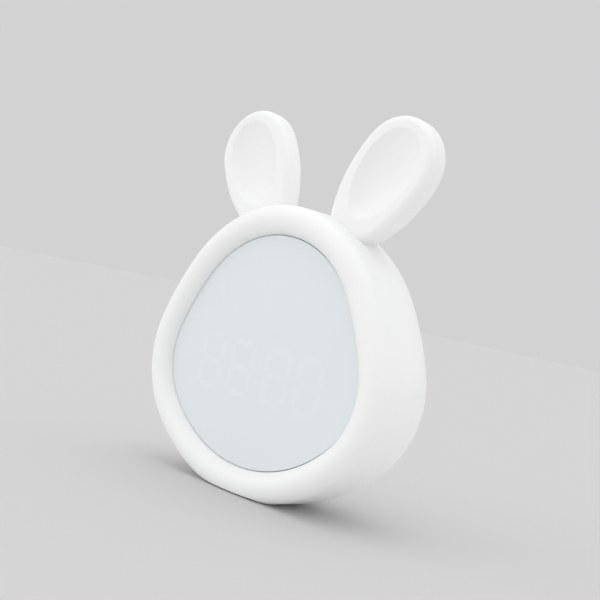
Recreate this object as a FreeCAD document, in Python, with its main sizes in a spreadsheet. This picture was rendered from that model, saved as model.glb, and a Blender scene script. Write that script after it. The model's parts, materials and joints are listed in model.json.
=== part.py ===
"""Bedside alarm clock with a night light: a rounded body, a display window and two ears.

Frame: millimetres, X to the right as seen from the front, Y to the back, Z up. The origin is on
the table, below the middle of the body.
"""
import FreeCAD, Part
import Sketcher
import math
import os
import re

Vector = FreeCAD.Vector
doc = FreeCAD.newDocument("night_light_clock")
sheet = doc.addObject("Spreadsheet::Sheet", "dims")

# Driving dimensions in millimetres and degrees
DIMENSIONS = {
    # body outline seen from the front, all arcs: a crown, two sides, two corners and a base
    "body_width": 120,
    "body_height": 109.7,
    "body_depth": 46,
    "crown_radius": 54.6,
    "side_radius": 108,
    "corner_radius": 38.8,
    "corner_up": 47.66,
    # rounded rim at the front, large rounding at the back, walls and the seam between the halves
    "bead_radius": 5.5,
    "bead_depth": 7.5,
    "back_radius": 28,
    "wall": 2.2,
    "seam_back": 7,
    "lip": 1.5,
    "foot_cut": 2.5,
    "floor_wall": 2.7,
    # display window
    "lens_inset": 11.4,
    "lens_recess": 4.3,
    "lens_flange": 1.7,
    "lens_thick": 1.6,
    "lens_gap": 0.35,
    "retainer_inset": 4.4,
    "retainer_thick": 2,
    "ring_screw_inset": 6.7,
    # fits between pieces, and how far a cutter or a joined piece runs past a face
    "fit_gap": 0.2,
    "slide_gap": 0.3,
    "screw_gap": 0.05,
    "overlap": 1,
    # ears: an egg of four arcs, turned outwards and leaning back, that stands on the crown's arc
    "ear_top_radius": 16.9,
    "ear_root_radius": 11,
    "ear_reach": 25.1,
    "ear_side_radius": 50,
    "ear_thick": 11.6,
    "ear_front_round": 2.8,
    "ear_back_round": 5.4,
    "ear_distance": 28.95,
    "ear_direction": 25.68,
    "ear_setback": 11.5,
    "ear_turn": 31.1,
    "ear_lean": 2.3,
    "dish_half_width": 11.9,
    "dish_half_length": 18.4,
    "dish_down": 5.9,
    "dish_depth": 4.6,
    "dish_bowl": 12,
    "dish_edge": 0.8,
    "spigot_radius": 4,
    "spigot_depth": 7.05,
    "spigot_gap": 0.15,
    "ear_boss_wall": 2.6,
    "washer_thick": 0.8,
    # foot pad
    "pad_length": 27,
    "pad_width": 22,
    "pad_proud": 0.5,
    "pad_sunk": 1,
    "pad_back": 5,
    "pad_corner": 5,
    # digits, their mask, film and board
    "digit_height": 19.4,
    "digit_width": 10.2,
    "digit_stroke": 2.2,
    "digit_inner": 9.7,
    "digit_outer": 26,
    "digit_up": 45,
    "segment_gap": 0.45,
    "mask_margin": 3.9,
    "mask_corner": 3,
    "mask_thick": 6,
    "film_thick": 0.3,
    "board_edge": 4,
    "board_corner": 2,
    "board_thick": 1.6,
    "led_length": 2.4,
    "led_width": 1.2,
    "led_thick": 0.7,
    # back panel
    "recess_length": 64,
    "recess_height": 27,
    "recess_depth": 2,
    "recess_up": 60,
    "recess_corner": 6,
    "row_rise": 6.5,
    "button_radius": 4,
    "button_space": 4,
    "button_proud": 1.5,
    "button_flange": 1.1,
    "button_brim": 1.2,
    "button_travel": 0.8,
    "finger_hollow": 0.5,
    "plunger_radius": 2,
    "knob_across": -17.5,
    "knob_length": 4,
    "knob_width": 2.6,
    "knob_travel": 3,
    "knob_cover_thick": 1,
    "knob_foot_length": 2.4,
    "knob_foot_width": 1.4,
    "knob_foot_sunk": 0.9,
    "usb_across": 16,
    "usb_length": 8.9,
    "usb_height": 3.2,
    "usb_set_in": 0.4,
    "usb_wall": 0.3,
    "usb_mouth_depth": 6.2,
    "tongue_length": 6.7,
    "tongue_thick": 0.7,
    # circuit board behind the back panel
    "board_space": 7.2,
    "main_edge": 5,
    "switch_side": 6,
    "switch_thick": 3.5,
    "slider_length": 10,
    "slider_width": 4.4,
    "stem_radius": 1.7,
    "stem_proud": 1,
    "post_radius": 2.4,
    "post_out": 0.8,
    "post_rise": 9.5,
    "chip_side": 9,
    "chip_thick": 1.2,
    "crystal_width": 3.2,
    "crystal_length": 8,
    "crystal_thick": 1.4,
    "capacitor_radius": 2.5,
    "capacitor_length": 6,
    "socket_length": 6,
    "socket_height": 4.5,
    "socket_thick": 5.5,
    # loudspeaker
    "speaker_radius": 12,
    "speaker_up": 31,
    "speaker_flange": 1.4,
    "speaker_depth": 7.5,
    "speaker_surround": 1.5,
    "basket_thick": 0.8,
    "collar_wall": 2,
    "cone_depth": 2.6,
    "cone_thick": 0.5,
    "coil_radius": 3,
    "coil_length": 1.4,
    "magnet_radius": 6.5,
    "magnet_thick": 3.5,
    "tab_out": 3.6,
    "speaker_post_radius": 2.6,
    "speaker_head": 4.4,
    "grille_hole": 1.2,
    "grille_pitch": 4.2,
    # battery and its cradle
    "cell_radius": 7.1,
    "cell_length": 50,
    "cell_ends": 3.5,
    "cell_gap": 0.1,
    "nub_radius": 2.6,
    "nub_length": 1,
    "contact_thick": 0.5,
    "contact_width": 8,
    "contact_height": 9,
    "cradle_rise": 0.8,
    "cradle_wall": 1.4,
    "cradle_floor": 1.6,
    "cradle_clear": 1.4,
    "tab_length": 5.6,
    "tab_width": 6.4,
    "tab_thick": 1.8,
    "cradle_post_radius": 3,
    # night light and touch plate
    "light_length": 74,
    "light_width": 12,
    "light_down": 23.7,
    "light_clear": 1.5,
    "light_edge": 4,
    "light_led": 5,
    "light_led_thick": 1.6,
    "shelf_thick": 3,
    "touch_width": 6.5,
    "touch_length": 18,
    "touch_thick": 0.4,
    "touch_gap": 0.05,
    "touch_pin": 0.8,
    # posts for the case screws, placed from the arcs' centres
    "case_low_out": 20.8,
    "case_low_down": 12.7,
    "case_high_across": 30,
    "case_high_rise": 26.9,
    "case_post_radius": 3.6,
    "case_post_length": 16,
    "case_seat": 1,
    "rib_thick": 2.4,
    # screws and leads
    "small_shank": 1,
    "small_head": 2,
    "small_head_thick": 1.2,
    "small_depth": 4,
    "case_shank": 1.3,
    "case_head": 2.6,
    "case_head_thick": 2,
    "case_screw_length": 12.5,
    "ear_screw_length": 9,
    "lead_radius": 0.7,
    "ribbon_width": 12,
    "ribbon_thick": 0.6,
}

# Places that follow from the driving dimensions
PLACES = {
    "front": "-body_depth / 2",
    "rear": "body_depth / 2",
    "base_drop": "foot_cut - pad_proud",
    "floor_up": "pad_proud + floor_wall",
    "crown_level": "body_height - crown_radius - base_drop",
    "corner_across": "body_width / 2 - corner_radius",
    "corner_level": "corner_up - base_drop",
    "base_rise": "corner_up - corner_radius",
    "base_radius": "(corner_across ^ 2 + corner_up ^ 2 - corner_radius ^ 2) / (2 * base_rise)",
    "base_level": "base_radius - base_drop",
    "ring_back": "front + bead_depth",
    "lens_front": "front + lens_recess",
    "lens_back": "lens_front + lens_thick",
    "retainer_back": "ring_back + retainer_thick",
    "mask_back": "ring_back + film_thick + mask_thick",
    "display_back": "mask_back + board_thick",
    "inner_round": "back_radius - wall",
    "inner_rear": "rear - wall",
    "seam": "rear - seam_back",
    "seam_reach": "inner_round - seam_back + wall",
    "lip_inset": "back_radius - sqrt(inner_round ^ 2 - seam_reach ^ 2) + slide_gap",
    "panel": "rear - recess_depth",
    "panel_inner": "panel - wall",
    "main_back": "panel_inner - board_space",
    "main_front": "main_back - board_thick",
    "switch_top": "main_back + switch_thick",
    "stem_top": "switch_top + stem_proud",
    "button_top": "panel + button_proud",
    "button_pitch": "2 * button_radius + button_space",
    "button_up": "recess_up + row_rise",
    "row_two_up": "recess_up - row_rise",
    "knob_slot": "knob_length + knob_travel + 2 * slide_gap",
    "knob_cover_back": "panel_inner - 0.5",
    "knob_cover_front": "knob_cover_back - knob_cover_thick",
    "usb_depth": "panel - usb_set_in - main_back",
    "main_length": "recess_length + 2 * main_edge",
    "speaker_seat": "inner_rear - wall",
    "speaker_front": "speaker_seat - speaker_flange",
    "magnet_front": "speaker_seat - speaker_flange / 2 - speaker_depth + magnet_thick",
    "mask_length": "2 * digit_outer + digit_width + 2 * mask_margin",
    "mask_height": "digit_height + 2 * mask_margin",
    "segment_across": "digit_width - 2 * digit_stroke",
    "segment_along": "digit_height / 2 - 1.5 * digit_stroke - segment_gap",
    "cell_back": "retainer_back + cradle_clear + cradle_wall + cell_radius",
    "cradle_length": "cell_length + 2 * cell_ends",
    "cradle_reach": "cradle_length / 2 + tab_length",
    "cradle_up": "base_level - sqrt((base_radius - wall) ^ 2 - cradle_reach ^ 2) + cradle_rise",
    "cell_up": "cradle_up + cradle_floor + cell_radius",
    "light_up": "crown_level + crown_radius - light_down",
    "light_front": "retainer_back + light_clear",
    "light_middle": "light_front + light_width / 2",
    "spigot_start": "ear_reach - ear_root_radius / 2",
    "spigot_end": "ear_distance + spigot_depth",
    "socket_front": "main_front - socket_thick / 2",
    "magnet_rear": "magnet_front - magnet_thick",
    "ear_boss_radius": "spigot_radius + ear_boss_wall",
}

ALIASES = set(DIMENSIONS) | set(PLACES)
ROWS = list(DIMENSIONS.items()) + [(alias, "=" + text) for alias, text in PLACES.items()]
for row, (alias, value) in enumerate(ROWS, start=1):
    sheet.set(f"A{row}", alias)
    sheet.set(f"B{row}", str(value))
    sheet.setAlias(f"B{row}", alias)
doc.recompute()


def formula(text):
    """Write a formula for the sheet: each alias gets the sheet's name in front."""
    def named(word):
        return "dims." + word.group() if word.group() in ALIASES else word.group()
    return re.sub(r"[a-z][a-z_0-9]*", named, str(text))


def size(text):
    """The value of a formula, in millimetres or degrees."""
    return float(sheet.evalExpression(formula(text)))


def bind(item, **formulas):
    """Tie properties of an object to the sheet."""
    for name, text in formulas.items():
        item.setExpression(name, formula(text))
    return item


def put(item, across=0, back=0, up=0):
    """Tie an object's place to the sheet."""
    for axis, text in zip("xyz", (across, back, up)):
        item.setExpression(f"Placement.Base.{axis}", formula(text))
    return item


# Directions in which a rod or a screw may point
TURNS = {
    "up": FreeCAD.Rotation(),
    "down": FreeCAD.Rotation(Vector(1, 0, 0), 180),
    "back": FreeCAD.Rotation(Vector(1, 0, 0), -90),
    "forward": FreeCAD.Rotation(Vector(1, 0, 0), 90),
    "right": FreeCAD.Rotation(Vector(0, 1, 0), 90),
}


def box(name, across, back, up, length, width, height):
    """A box centred across and in height, that starts at its front face."""
    item = bind(doc.addObject("Part::Box", name), Length=length, Width=width, Height=height)
    return put(item, f"({across}) - ({length}) / 2", back, f"({up}) - ({height}) / 2")


def rod(name, radius, length, across, back, up, direction="back"):
    """A round rod that starts at a point and runs in a direction."""
    item = bind(doc.addObject("Part::Cylinder", name), Radius=radius, Height=length)
    item.Placement.Rotation = TURNS[direction]
    return put(item, across, back, up)


def cone(name, front_radius, back_radius, length, back):
    """A cone about the loudspeaker's axis that widens towards the back."""
    item = bind(doc.addObject("Part::Cone", name), Radius1=front_radius, Radius2=back_radius, Height=length)
    item.Placement.Rotation = TURNS["back"]
    return put(item, "0", back, "speaker_up")


def fuse(name, pieces):
    item = doc.addObject("Part::MultiFuse", name)
    item.Shapes = pieces
    return item


def common(name, pieces):
    item = doc.addObject("Part::MultiCommon", name)
    item.Shapes = pieces
    return item


def cut(name, base, tools):
    item = doc.addObject("Part::Cut", name)
    item.Base = base
    item.Tool = tools[0] if len(tools) == 1 else fuse(name + "_tools", tools)
    return item


def group(name, pieces):
    """Alike solids that share a node and stay separate."""
    item = doc.addObject("Part::Compound", name)
    item.Links = pieces
    return item


def sketch_on(body, name, role, *offsets):
    """A sketch on one of the body's own planes, moved along the plane's three directions."""
    sketch = body.newObject("Sketcher::SketchObject", name)
    plane = next(f for f in body.Origin.OriginFeatures if f.Role == role)
    sketch.AttachmentSupport = [(plane, "")]
    sketch.MapMode = "FlatFace"
    for axis, text in zip("xyz", offsets):
        sketch.setExpression(f"AttachmentOffset.Base.{axis}", formula(text))
    return sketch


def sketch_on_front_plane(body, name, back, across=0, up=0):
    """A sketch that stands upright at a depth, seen from the front."""
    return sketch_on(body, name, "XZ_Plane", across, up, f"-({back})")


def dimension(sketch, kind, *arguments, text):
    """A dimension of a sketch, tied to the sheet."""
    number = sketch.addConstraint(Sketcher.Constraint(kind, *arguments, size(text)))
    sketch.setExpression(f"Constraints[{number}]", formula(text))


def constrain(sketch, *constraints):
    for constraint in constraints:
        sketch.addConstraint(Sketcher.Constraint(*constraint))


def arc(centre, radius, first, last):
    """An arc that runs anticlockwise between two directions in radians."""
    circle = Part.Circle(Vector(centre[0], centre[1], 0), Vector(0, 0, 1), radius)
    return Part.ArcOfCircle(circle, first, last)


def body_outline(sketch, inset):
    """The body's outline moved inwards: six tangent arcs about the same centres."""
    inward = size(inset)
    crown, side, corner, base = (size(f"{n}_radius") for n in ("crown", "side", "corner", "base"))
    top = (0, size("body_height") - crown)
    low = (size("corner_across"), size("corner_up"))
    span = math.dist(top, low)
    along = (span ** 2 + (side - crown) ** 2 - (side - corner) ** 2) / (2 * span)
    off = math.sqrt((side - crown) ** 2 - along ** 2)
    step = ((low[0] - top[0]) / span, (low[1] - top[1]) / span)
    centre = (top[0] + step[0] * along + step[1] * off, top[1] + step[1] * along - step[0] * off)
    join_top = math.atan2(top[1] - centre[1], top[0] - centre[0])
    join_low = math.atan2(low[1] - centre[1], low[0] - centre[0])
    join_base = math.atan2(low[1] - base, low[0])
    sketch.addGeometry(arc(top, crown - inward, join_top, math.pi - join_top))
    sketch.addGeometry(arc((-centre[0], centre[1]), side - inward, math.pi - join_top, math.pi - join_low))
    sketch.addGeometry(arc((-low[0], low[1]), corner - inward, math.pi - join_low, math.pi - join_base))
    sketch.addGeometry(arc((0, base), base - inward, -math.pi - join_base, join_base))
    sketch.addGeometry(arc(low, corner - inward, join_base, join_low))
    sketch.addGeometry(arc(centre, side - inward, join_low, join_top))
    for number in range(6):
        constrain(sketch, ("Tangent", number, 2, (number + 1) % 6, 1))
    constrain(sketch, ("Equal", 1, 5), ("Equal", 2, 4))
    constrain(sketch, ("PointOnObject", 0, 3, -2), ("PointOnObject", 3, 3, -2))
    dimension(sketch, "Radius", 0, text=f"crown_radius - ({inset})")
    dimension(sketch, "Radius", 1, text=f"side_radius - ({inset})")
    dimension(sketch, "Radius", 2, text=f"corner_radius - ({inset})")
    dimension(sketch, "Radius", 3, text=f"base_radius - ({inset})")
    dimension(sketch, "DistanceY", -1, 1, 0, 3, text="body_height - crown_radius")
    dimension(sketch, "DistanceY", -1, 1, 3, 3, text="base_radius")
    dimension(sketch, "DistanceX", -1, 1, 4, 3, text="corner_across")
    dimension(sketch, "DistanceX", 2, 3, -1, 1, text="corner_across")


def egg_outline(sketch):
    """The ear's outline: a wide top arc, a small root arc and two side arcs between them."""
    top, root, side, reach = (size(f"ear_{n}") for n in ("top_radius", "root_radius", "side_radius", "reach"))
    down = (reach ** 2 + (side - top) ** 2 - (side - root) ** 2) / (2 * reach)
    off = math.sqrt((side - top) ** 2 - down ** 2)
    join_top = math.atan2(down, off)
    join_root = math.atan2(down - reach, off)
    sketch.addGeometry(arc((0, 0), top, join_top, math.pi - join_top))
    sketch.addGeometry(arc((off, -down), side, math.pi - join_top, math.pi - join_root))
    sketch.addGeometry(arc((0, -reach), root, -math.pi - join_root, join_root))
    sketch.addGeometry(arc((-off, -down), side, join_root, join_top))
    for number in range(4):
        constrain(sketch, ("Tangent", number, 2, (number + 1) % 4, 1))
    constrain(sketch, ("Coincident", 0, 3, -1, 1), ("PointOnObject", 2, 3, -2), ("Equal", 1, 3))
    dimension(sketch, "Radius", 0, text="ear_top_radius")
    dimension(sketch, "Radius", 1, text="ear_side_radius")
    dimension(sketch, "Radius", 2, text="ear_root_radius")
    dimension(sketch, "DistanceY", 2, 3, -1, 1, text="ear_reach")


def rounded_outline(sketch, length, height, corner):
    """A rectangle with round corners about the sketch's own centre."""
    x, y, r = size(length) / 2, size(height) / 2, size(corner)
    corners = [Vector(x - r, y - r), Vector(r - x, y - r), Vector(r - x, r - y), Vector(x - r, r - y)]
    for number, place in enumerate(corners):
        sketch.addGeometry(arc(place, r, number * math.pi / 2, (number + 1) * math.pi / 2))
    for number, place in enumerate(corners):
        turn = (number + 1) * math.pi / 2
        shift = Vector(r * math.cos(turn), r * math.sin(turn))
        sketch.addGeometry(Part.LineSegment(place + shift, corners[(number + 1) % 4] + shift))
    for number in range(4):
        constrain(sketch, ("Tangent", number, 2, number + 4, 1))
        constrain(sketch, ("Tangent", number + 4, 2, (number + 1) % 4, 1))
    constrain(sketch, ("Equal", 0, 1), ("Equal", 0, 2), ("Equal", 0, 3), ("Horizontal", 4), ("Vertical", 5))
    constrain(sketch, ("Symmetric", 0, 3, 2, 3, -1, 1))
    dimension(sketch, "Radius", 0, text=corner)
    dimension(sketch, "DistanceX", 1, 3, 0, 3, text=f"({length}) - 2 * ({corner})")
    dimension(sketch, "DistanceY", 3, 3, 0, 3, text=f"({height}) - 2 * ({corner})")


def padded_body(name, draw, back, length, across=0, up=0):
    """A body with one upright sketch, padded towards the back."""
    body = doc.addObject("PartDesign::Body", name)
    sketch = sketch_on_front_plane(body, name + "_outline", back, across, up)
    draw(sketch)
    pad = body.newObject("PartDesign::Pad", name + "_pad")
    pad.Profile = sketch
    pad.Reversed = True
    bind(pad, Length=length)
    doc.recompute()
    return body


def rounded_slab(name, across, back, length, width, corner, up, thick):
    """A flat slab with round corners in plan, that starts at a height."""
    body = doc.addObject("PartDesign::Body", name)
    sketch = sketch_on(body, name + "_outline", "XY_Plane", across, back, up)
    rounded_outline(sketch, length, width, corner)
    pad = body.newObject("PartDesign::Pad", name + "_pad")
    pad.Profile = sketch
    bind(pad, Length=thick)
    doc.recompute()
    return body


def outline_plate(name, inset, back, length):
    """A plate with the body's outline, inset from it."""
    return padded_body(name, lambda s: body_outline(s, inset), back, length, up="-base_drop")


def rounded_plate(name, across, up, length, height, corner, back, thick):
    return padded_body(name, lambda s: rounded_outline(s, length, height, corner), back, thick, across, up)


def round_edges(body, name, back, radius, widest=True):
    """Round the outline of a body's upright face at a depth."""
    depth = size(back)
    flat = [f for f in body.Shape.Faces if f.BoundBox.YLength < 1e-6 and abs(f.CenterOfMass.y - depth) < 1e-6]
    wire = flat[0].OuterWire if widest else min(flat[0].Wires, key=lambda w: w.BoundBox.XLength)
    names = [f"Edge{n}" for n, e in enumerate(body.Shape.Edges, 1) if any(e.isSame(w) for w in wire.Edges)]
    solid = body.Tip
    fillet = body.newObject("PartDesign::Fillet", name)
    fillet.Base = (solid, names)
    bind(fillet, Radius=radius)
    doc.recompute()


# Screws, and places that come in pairs or on the outline

def screw(name, across, back, up, direction, length, kind="small", head="small_head"):
    """A screw whose head rests on a point; its shank runs in the direction given."""
    opposite = {"back": "forward", "forward": "back", "up": "down", "down": "up"}[direction]
    return fuse(name, [rod(name + "_shank", f"{kind}_shank", length, across, back, up, direction),
                       rod(name + "_head", head, f"{kind}_head_thick", across, back, up, opposite)])


def screws(name, places, back, length):
    """A group of small upright-plane screws that are driven forwards from a depth."""
    return group(name, [screw(f"{name}_{n}", across, back, up, "forward", length)
                        for n, (across, up) in enumerate(places, 1)])


def both_sides(across, second):
    """A place on the right and the same place on the left."""
    return [(across, second), (f"-({across})", second)]


def on_arc(name, direction, inset):
    """A place on one of the outline's arcs, by the direction of its normal from straight up."""
    middle = "corner_across" if name == "corner" else "0"
    return (f"{middle} + ({name}_radius - ({inset})) * sin({direction})",
            f"{name}_level + ({name}_radius - ({inset})) * cos({direction})")


def wall_rib(name, across, back, up, width, thick, inward="0"):
    """A rib from beside a place out to the side wall, where the outer form trims it."""
    side = "-" if across.startswith("-") else ""
    start = f"(abs({across}) - ({inward}))"
    return box(name, f"{side}({start} + body_width / 2) / 2", back, up, f"body_width / 2 - {start}", width,
               thick)


CASE_PLACES = (both_sides("corner_across + case_low_out", "corner_level - case_low_down")
               + both_sides("case_high_across", "crown_level + case_high_rise"))
RING_PLACES = (both_sides(*on_arc("corner", 96.5, "ring_screw_inset"))
               + both_sides(*on_arc("crown", 42, "ring_screw_inset"))
               + both_sides(*on_arc("base", 158.3, "ring_screw_inset")))
DISPLAY_PLACES = (both_sides("mask_length / 2 + 1.8", "digit_up - mask_height / 2 - 0.5")
                  + both_sides("mask_length / 2 + 1.8", "digit_up + mask_height / 2 + 0.5"))
MAIN_PLACES = (both_sides("recess_length / 2 + post_out", "recess_up - post_rise")
               + both_sides("recess_length / 2 + post_out", "recess_up + post_rise"))
SPEAKER_PLACES = both_sides("speaker_radius + tab_out", "speaker_up")
CRADLE_PLACES = both_sides("cradle_reach - tab_length / 2 - 0.1", "cell_back")
LIGHT_PLACES = both_sides("light_length / 2 - light_edge", "light_middle")


# The whole outer form: rounded rim, window and back

def make_body_form():
    body = outline_plate("body_form", "0", "front", "body_depth")
    round_edges(body, "bead_outside", "front", "bead_radius")
    round_edges(body, "back_rounding", "rear", "back_radius")
    window = sketch_on_front_plane(body, "window_outline", "front", up="-base_drop")
    body_outline(window, "lens_inset")
    pocket = body.newObject("PartDesign::Pocket", "window")
    pocket.Profile = window
    bind(pocket, Length="bead_depth")
    doc.recompute()
    round_edges(body, "bead_inside", "front", "lens_inset - bead_radius - 0.1", widest=False)
    return body


def make_inner_form():
    """The hollow inside: the outline inset by the wall, rounded at the back, flat over the foot."""
    body = outline_plate("inner_form", "wall", "ring_back", "inner_rear - ring_back")
    round_edges(body, "inner_rounding", "inner_rear", "inner_round")
    floor = box("foot_floor", "0", "front", "floor_up / 2", "body_width", "body_depth", "floor_up")
    below = box("below_floor", "0", "front", "-base_drop / 2", "body_width", "body_depth",
                "base_drop + overlap")
    rebate = outline_plate("lens_rebate", "lens_inset - lens_flange", "lens_back", "ring_back - lens_back")
    return fuse("hollow", [cut("hollow_over_foot", body, [floor, below]), rebate])


body_form = make_body_form()
hollow = make_inner_form()
foot_cutter = box("foot_cutter", "0", "front - overlap", "pad_proud - foot_cut", "body_width",
                  "body_depth + 2 * overlap", "2 * foot_cut")
standing_form = cut("standing_form", body_form, [foot_cutter])
whole_shell = cut("whole_shell", standing_form, [hollow])
front_space = box("front_space", "0", "front - overlap", "body_height / 2", "2 * body_width",
                  "seam - front + overlap", "2 * body_height")
back_space = box("back_space", "0", "seam", "body_height / 2", "2 * body_width", "body_depth",
                 "2 * body_height")


# Front housing: walls, rim, floor over the foot, posts, ribs and ear sockets

def ear_place(side):
    """The ear's own frame: X across its face, Y through it and Z along it to its tip."""
    turn = FreeCAD.Rotation(Vector(0, 1, 0), side * size("ear_turn"))
    lean = FreeCAD.Rotation(Vector(1, 0, 0), -size("ear_lean"))
    across, up = on_arc("crown", "ear_direction", "-ear_distance")
    spot = Vector(side * size(across), size("front + ear_setback"), size(up))
    return FreeCAD.Placement(spot, lean.multiply(turn))


def ear_rod(name, side, radius, start, end):
    """A round rod down the ear's middle line, between two distances below its centre."""
    item = bind(doc.addObject("Part::Cylinder", name), Radius=radius, Height=f"({end}) - ({start})")
    inside = FreeCAD.Placement(Vector(0, size("ear_thick / 2"), -size(end)), FreeCAD.Rotation())
    item.Placement = ear_place(side).multiply(inside)
    return item


def make_front_housing():
    adds = []
    holes = []
    for number, (across, up) in enumerate(CASE_PLACES, 1):
        adds.append(rod(f"case_post_{number}", "case_post_radius", "case_post_length", across,
                        "seam - case_post_length", up))
        adds.append(wall_rib(f"case_rib_{number}", across, "seam - case_post_length", up,
                             "case_post_length - 2 * overlap", "rib_thick"))
        holes.append(rod(f"case_pilot_{number}", "case_shank + screw_gap", "case_screw_length + overlap",
                         across, "seam - case_screw_length", up))
    for number, (across, back) in enumerate(CRADLE_PLACES, 1):
        adds.append(rod(f"cradle_post_{number}", "cradle_post_radius", "cradle_up", across, back, "0", "up"))
        holes.append(rod(f"cradle_pilot_{number}", "small_shank + screw_gap", "small_depth + overlap", across,
                         back, "cradle_up + overlap", "down"))
    for number, (across, back) in enumerate(LIGHT_PLACES, 1):
        adds.append(wall_rib(f"light_shelf_{number}", across, "light_front", "light_up - shelf_thick / 2",
                             "light_width", "shelf_thick", inward="light_edge"))
        holes.append(rod(f"light_pilot_{number}", "small_shank + screw_gap", "shelf_thick + overlap", across,
                         back, "light_up + overlap", "down"))
    for number, (across, up) in enumerate(RING_PLACES, 1):
        holes.append(rod(f"ring_pilot_{number}", "small_shank + screw_gap", "small_depth + overlap", across,
                         "ring_back - small_depth", up))
    for side, name in ((1, "right"), (-1, "left")):
        adds.append(ear_rod(f"ear_socket_{name}", side, "ear_boss_radius", "ear_distance - overlap",
                            "spigot_end"))
        holes.append(ear_rod(f"ear_opening_{name}", side, "spigot_radius + spigot_gap", "spigot_start",
                             "spigot_end + overlap"))
    holes.append(rounded_slab("foot_recess", "0", "pad_back - pad_width / 2", "pad_length + 2 * fit_gap",
                              "pad_width + 2 * fit_gap", "pad_corner + fit_gap", "-overlap",
                              "overlap + pad_proud + pad_sunk"))
    inside = common("housing_inside_parts", [fuse("housing_additions", adds), standing_form])
    front_shell = common("front_shell", [whole_shell, front_space])
    return cut("front_housing", fuse("front_housing_solid", [front_shell, inside]), holes)


# Rear cover: dome with a panel for the buttons, a grille, screw wells and a lip

BUTTONS = ["time_button", "alarm_button", "down_button", "up_button", "light_button"]


def button_across(number):
    return f"{number - 2} * button_pitch"


def grille_holes():
    """Nineteen holes: one, then a ring of six, then a ring of twelve, on a hexagonal grid."""
    holes = []
    for column in range(-2, 3):
        count = 5 - abs(column)
        for place in range(count):
            across = f"{column} * grille_pitch * cos(30)"
            up = f"speaker_up + {place - (count - 1) / 2} * grille_pitch"
            holes.append(rod(f"grille_hole_{column + 2}_{place}", "grille_hole", "wall + 3 * overlap", across,
                             "inner_rear - 2 * overlap", up))
    return holes


def speaker_collar():
    """The ring that holds the loudspeaker's rim against the cover."""
    ring = rod("collar_ring", "speaker_radius + collar_wall", "rear - speaker_front", "0", "speaker_front",
               "speaker_up")
    pocket = rod("collar_pocket", "speaker_radius + fit_gap", "speaker_flange", "0", "speaker_front",
                 "speaker_up")
    throat = rod("collar_throat", "speaker_radius - speaker_surround", "wall", "0", "speaker_seat - fit_gap",
                 "speaker_up")
    return cut("speaker_collar", ring, [pocket, throat])


def cover_lip():
    """The lip that steps into the front housing, notched where the case posts stand."""
    notches = [rod(f"lip_notch_{n}", "case_post_radius + slide_gap", "lip + overlap", across,
                   "seam - lip - overlap", up) for n, (across, up) in enumerate(CASE_PLACES, 1)]
    outside = outline_plate("lip_outside", "lip_inset", "seam - lip", "2 * lip")
    inside = outline_plate("lip_inside", "lip_inset + lip", "seam - lip - overlap", "2 * lip + 2 * overlap")
    return cut("lip_ring", outside, [inside] + notches)


def make_rear_cover():
    adds = [speaker_collar(), cover_lip()]
    holes = grille_holes()
    adds.append(rounded_plate("panel_backing", "0", "recess_up", "recess_length + 2 * board_edge",
                              "recess_height + board_edge", "recess_corner", "panel_inner",
                              "recess_depth + overlap"))
    holes.append(rounded_plate("panel_recess", "0", "recess_up", "recess_length", "recess_height",
                               "recess_corner", "panel", "recess_depth + overlap"))
    through = ("panel_inner - overlap", "wall + 2 * overlap")
    for number, name in enumerate(BUTTONS):
        holes.append(rod(name + "_hole", "button_radius + fit_gap", through[1], button_across(number),
                         through[0], "button_up"))
    holes.append(box("knob_slot_cutter", "knob_across + knob_travel / 2", through[0], "row_two_up",
                     "knob_slot", through[1], "knob_width + 2 * slide_gap"))
    holes.append(rounded_plate("usb_opening", "usb_across", "row_two_up", "usb_length + 2 * fit_gap",
                               "usb_height + 2 * fit_gap", "usb_height / 2", *through))
    for number, (across, up) in enumerate(CASE_PLACES, 1):
        adds.append(rod(f"case_sleeve_{number}", "case_post_radius", "seam_back", across, "seam", up))
        holes.append(rod(f"case_well_{number}", "case_head + 2 * fit_gap", "seam_back", across,
                         "seam + case_seat", up))
        holes.append(rod(f"case_passage_{number}", "case_shank + fit_gap", "seam_back", across,
                         "seam - overlap", up))
    for number, (across, up) in enumerate(MAIN_PLACES, 1):
        adds.append(rod(f"board_post_{number}", "post_radius", "board_space + wall", across, "main_back", up))
        holes.append(rod(f"board_pilot_{number}", "small_shank + screw_gap", "small_depth + overlap", across,
                         "main_back - overlap", up))
    for number, (across, up) in enumerate(SPEAKER_PLACES, 1):
        adds.append(rod(f"speaker_post_{number}", "speaker_post_radius",
                        "inner_rear - speaker_front + overlap", across, "speaker_front", up))
        holes.append(rod(f"speaker_pilot_{number}", "small_shank + screw_gap", "small_depth + overlap",
                         across, "speaker_front - overlap", up))
    inside = common("cover_inside_parts", [fuse("cover_additions", adds), standing_form])
    rear_shell = common("rear_shell", [whole_shell, back_space])
    return cut("rear_cover", fuse("rear_cover_solid", [rear_shell, inside]), holes)


# Display: window, film, retainer, digit mask, board and its lights

SEGMENTS = [(0, 1), (1, 0.5), (1, -0.5), (0, -1), (-1, -0.5), (-1, 0.5), (0, 0)]
DIGITS = ["-digit_outer", "-digit_inner", "digit_inner", "digit_outer"]
DOTS = ["digit_up + digit_height / 4", "digit_up - digit_height / 4"]


def segment_place(digit, across, up):
    """The middle of a segment, counted in half widths and half heights of the strokes' middle lines."""
    return (f"{digit} + {across} * (digit_width - digit_stroke) / 2",
            f"digit_up + {up} * (digit_height - digit_stroke) / 2")


def make_lens():
    """The window: a plate that fills the opening, with a flange behind the rim."""
    step = outline_plate("lens_step", "lens_inset + lens_gap", "lens_front", "lens_thick")
    flange = outline_plate("lens_flange_plate", "lens_inset - lens_flange + fit_gap", "lens_back",
                           "ring_back - lens_back")
    return fuse("display_lens", [step, flange])


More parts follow.
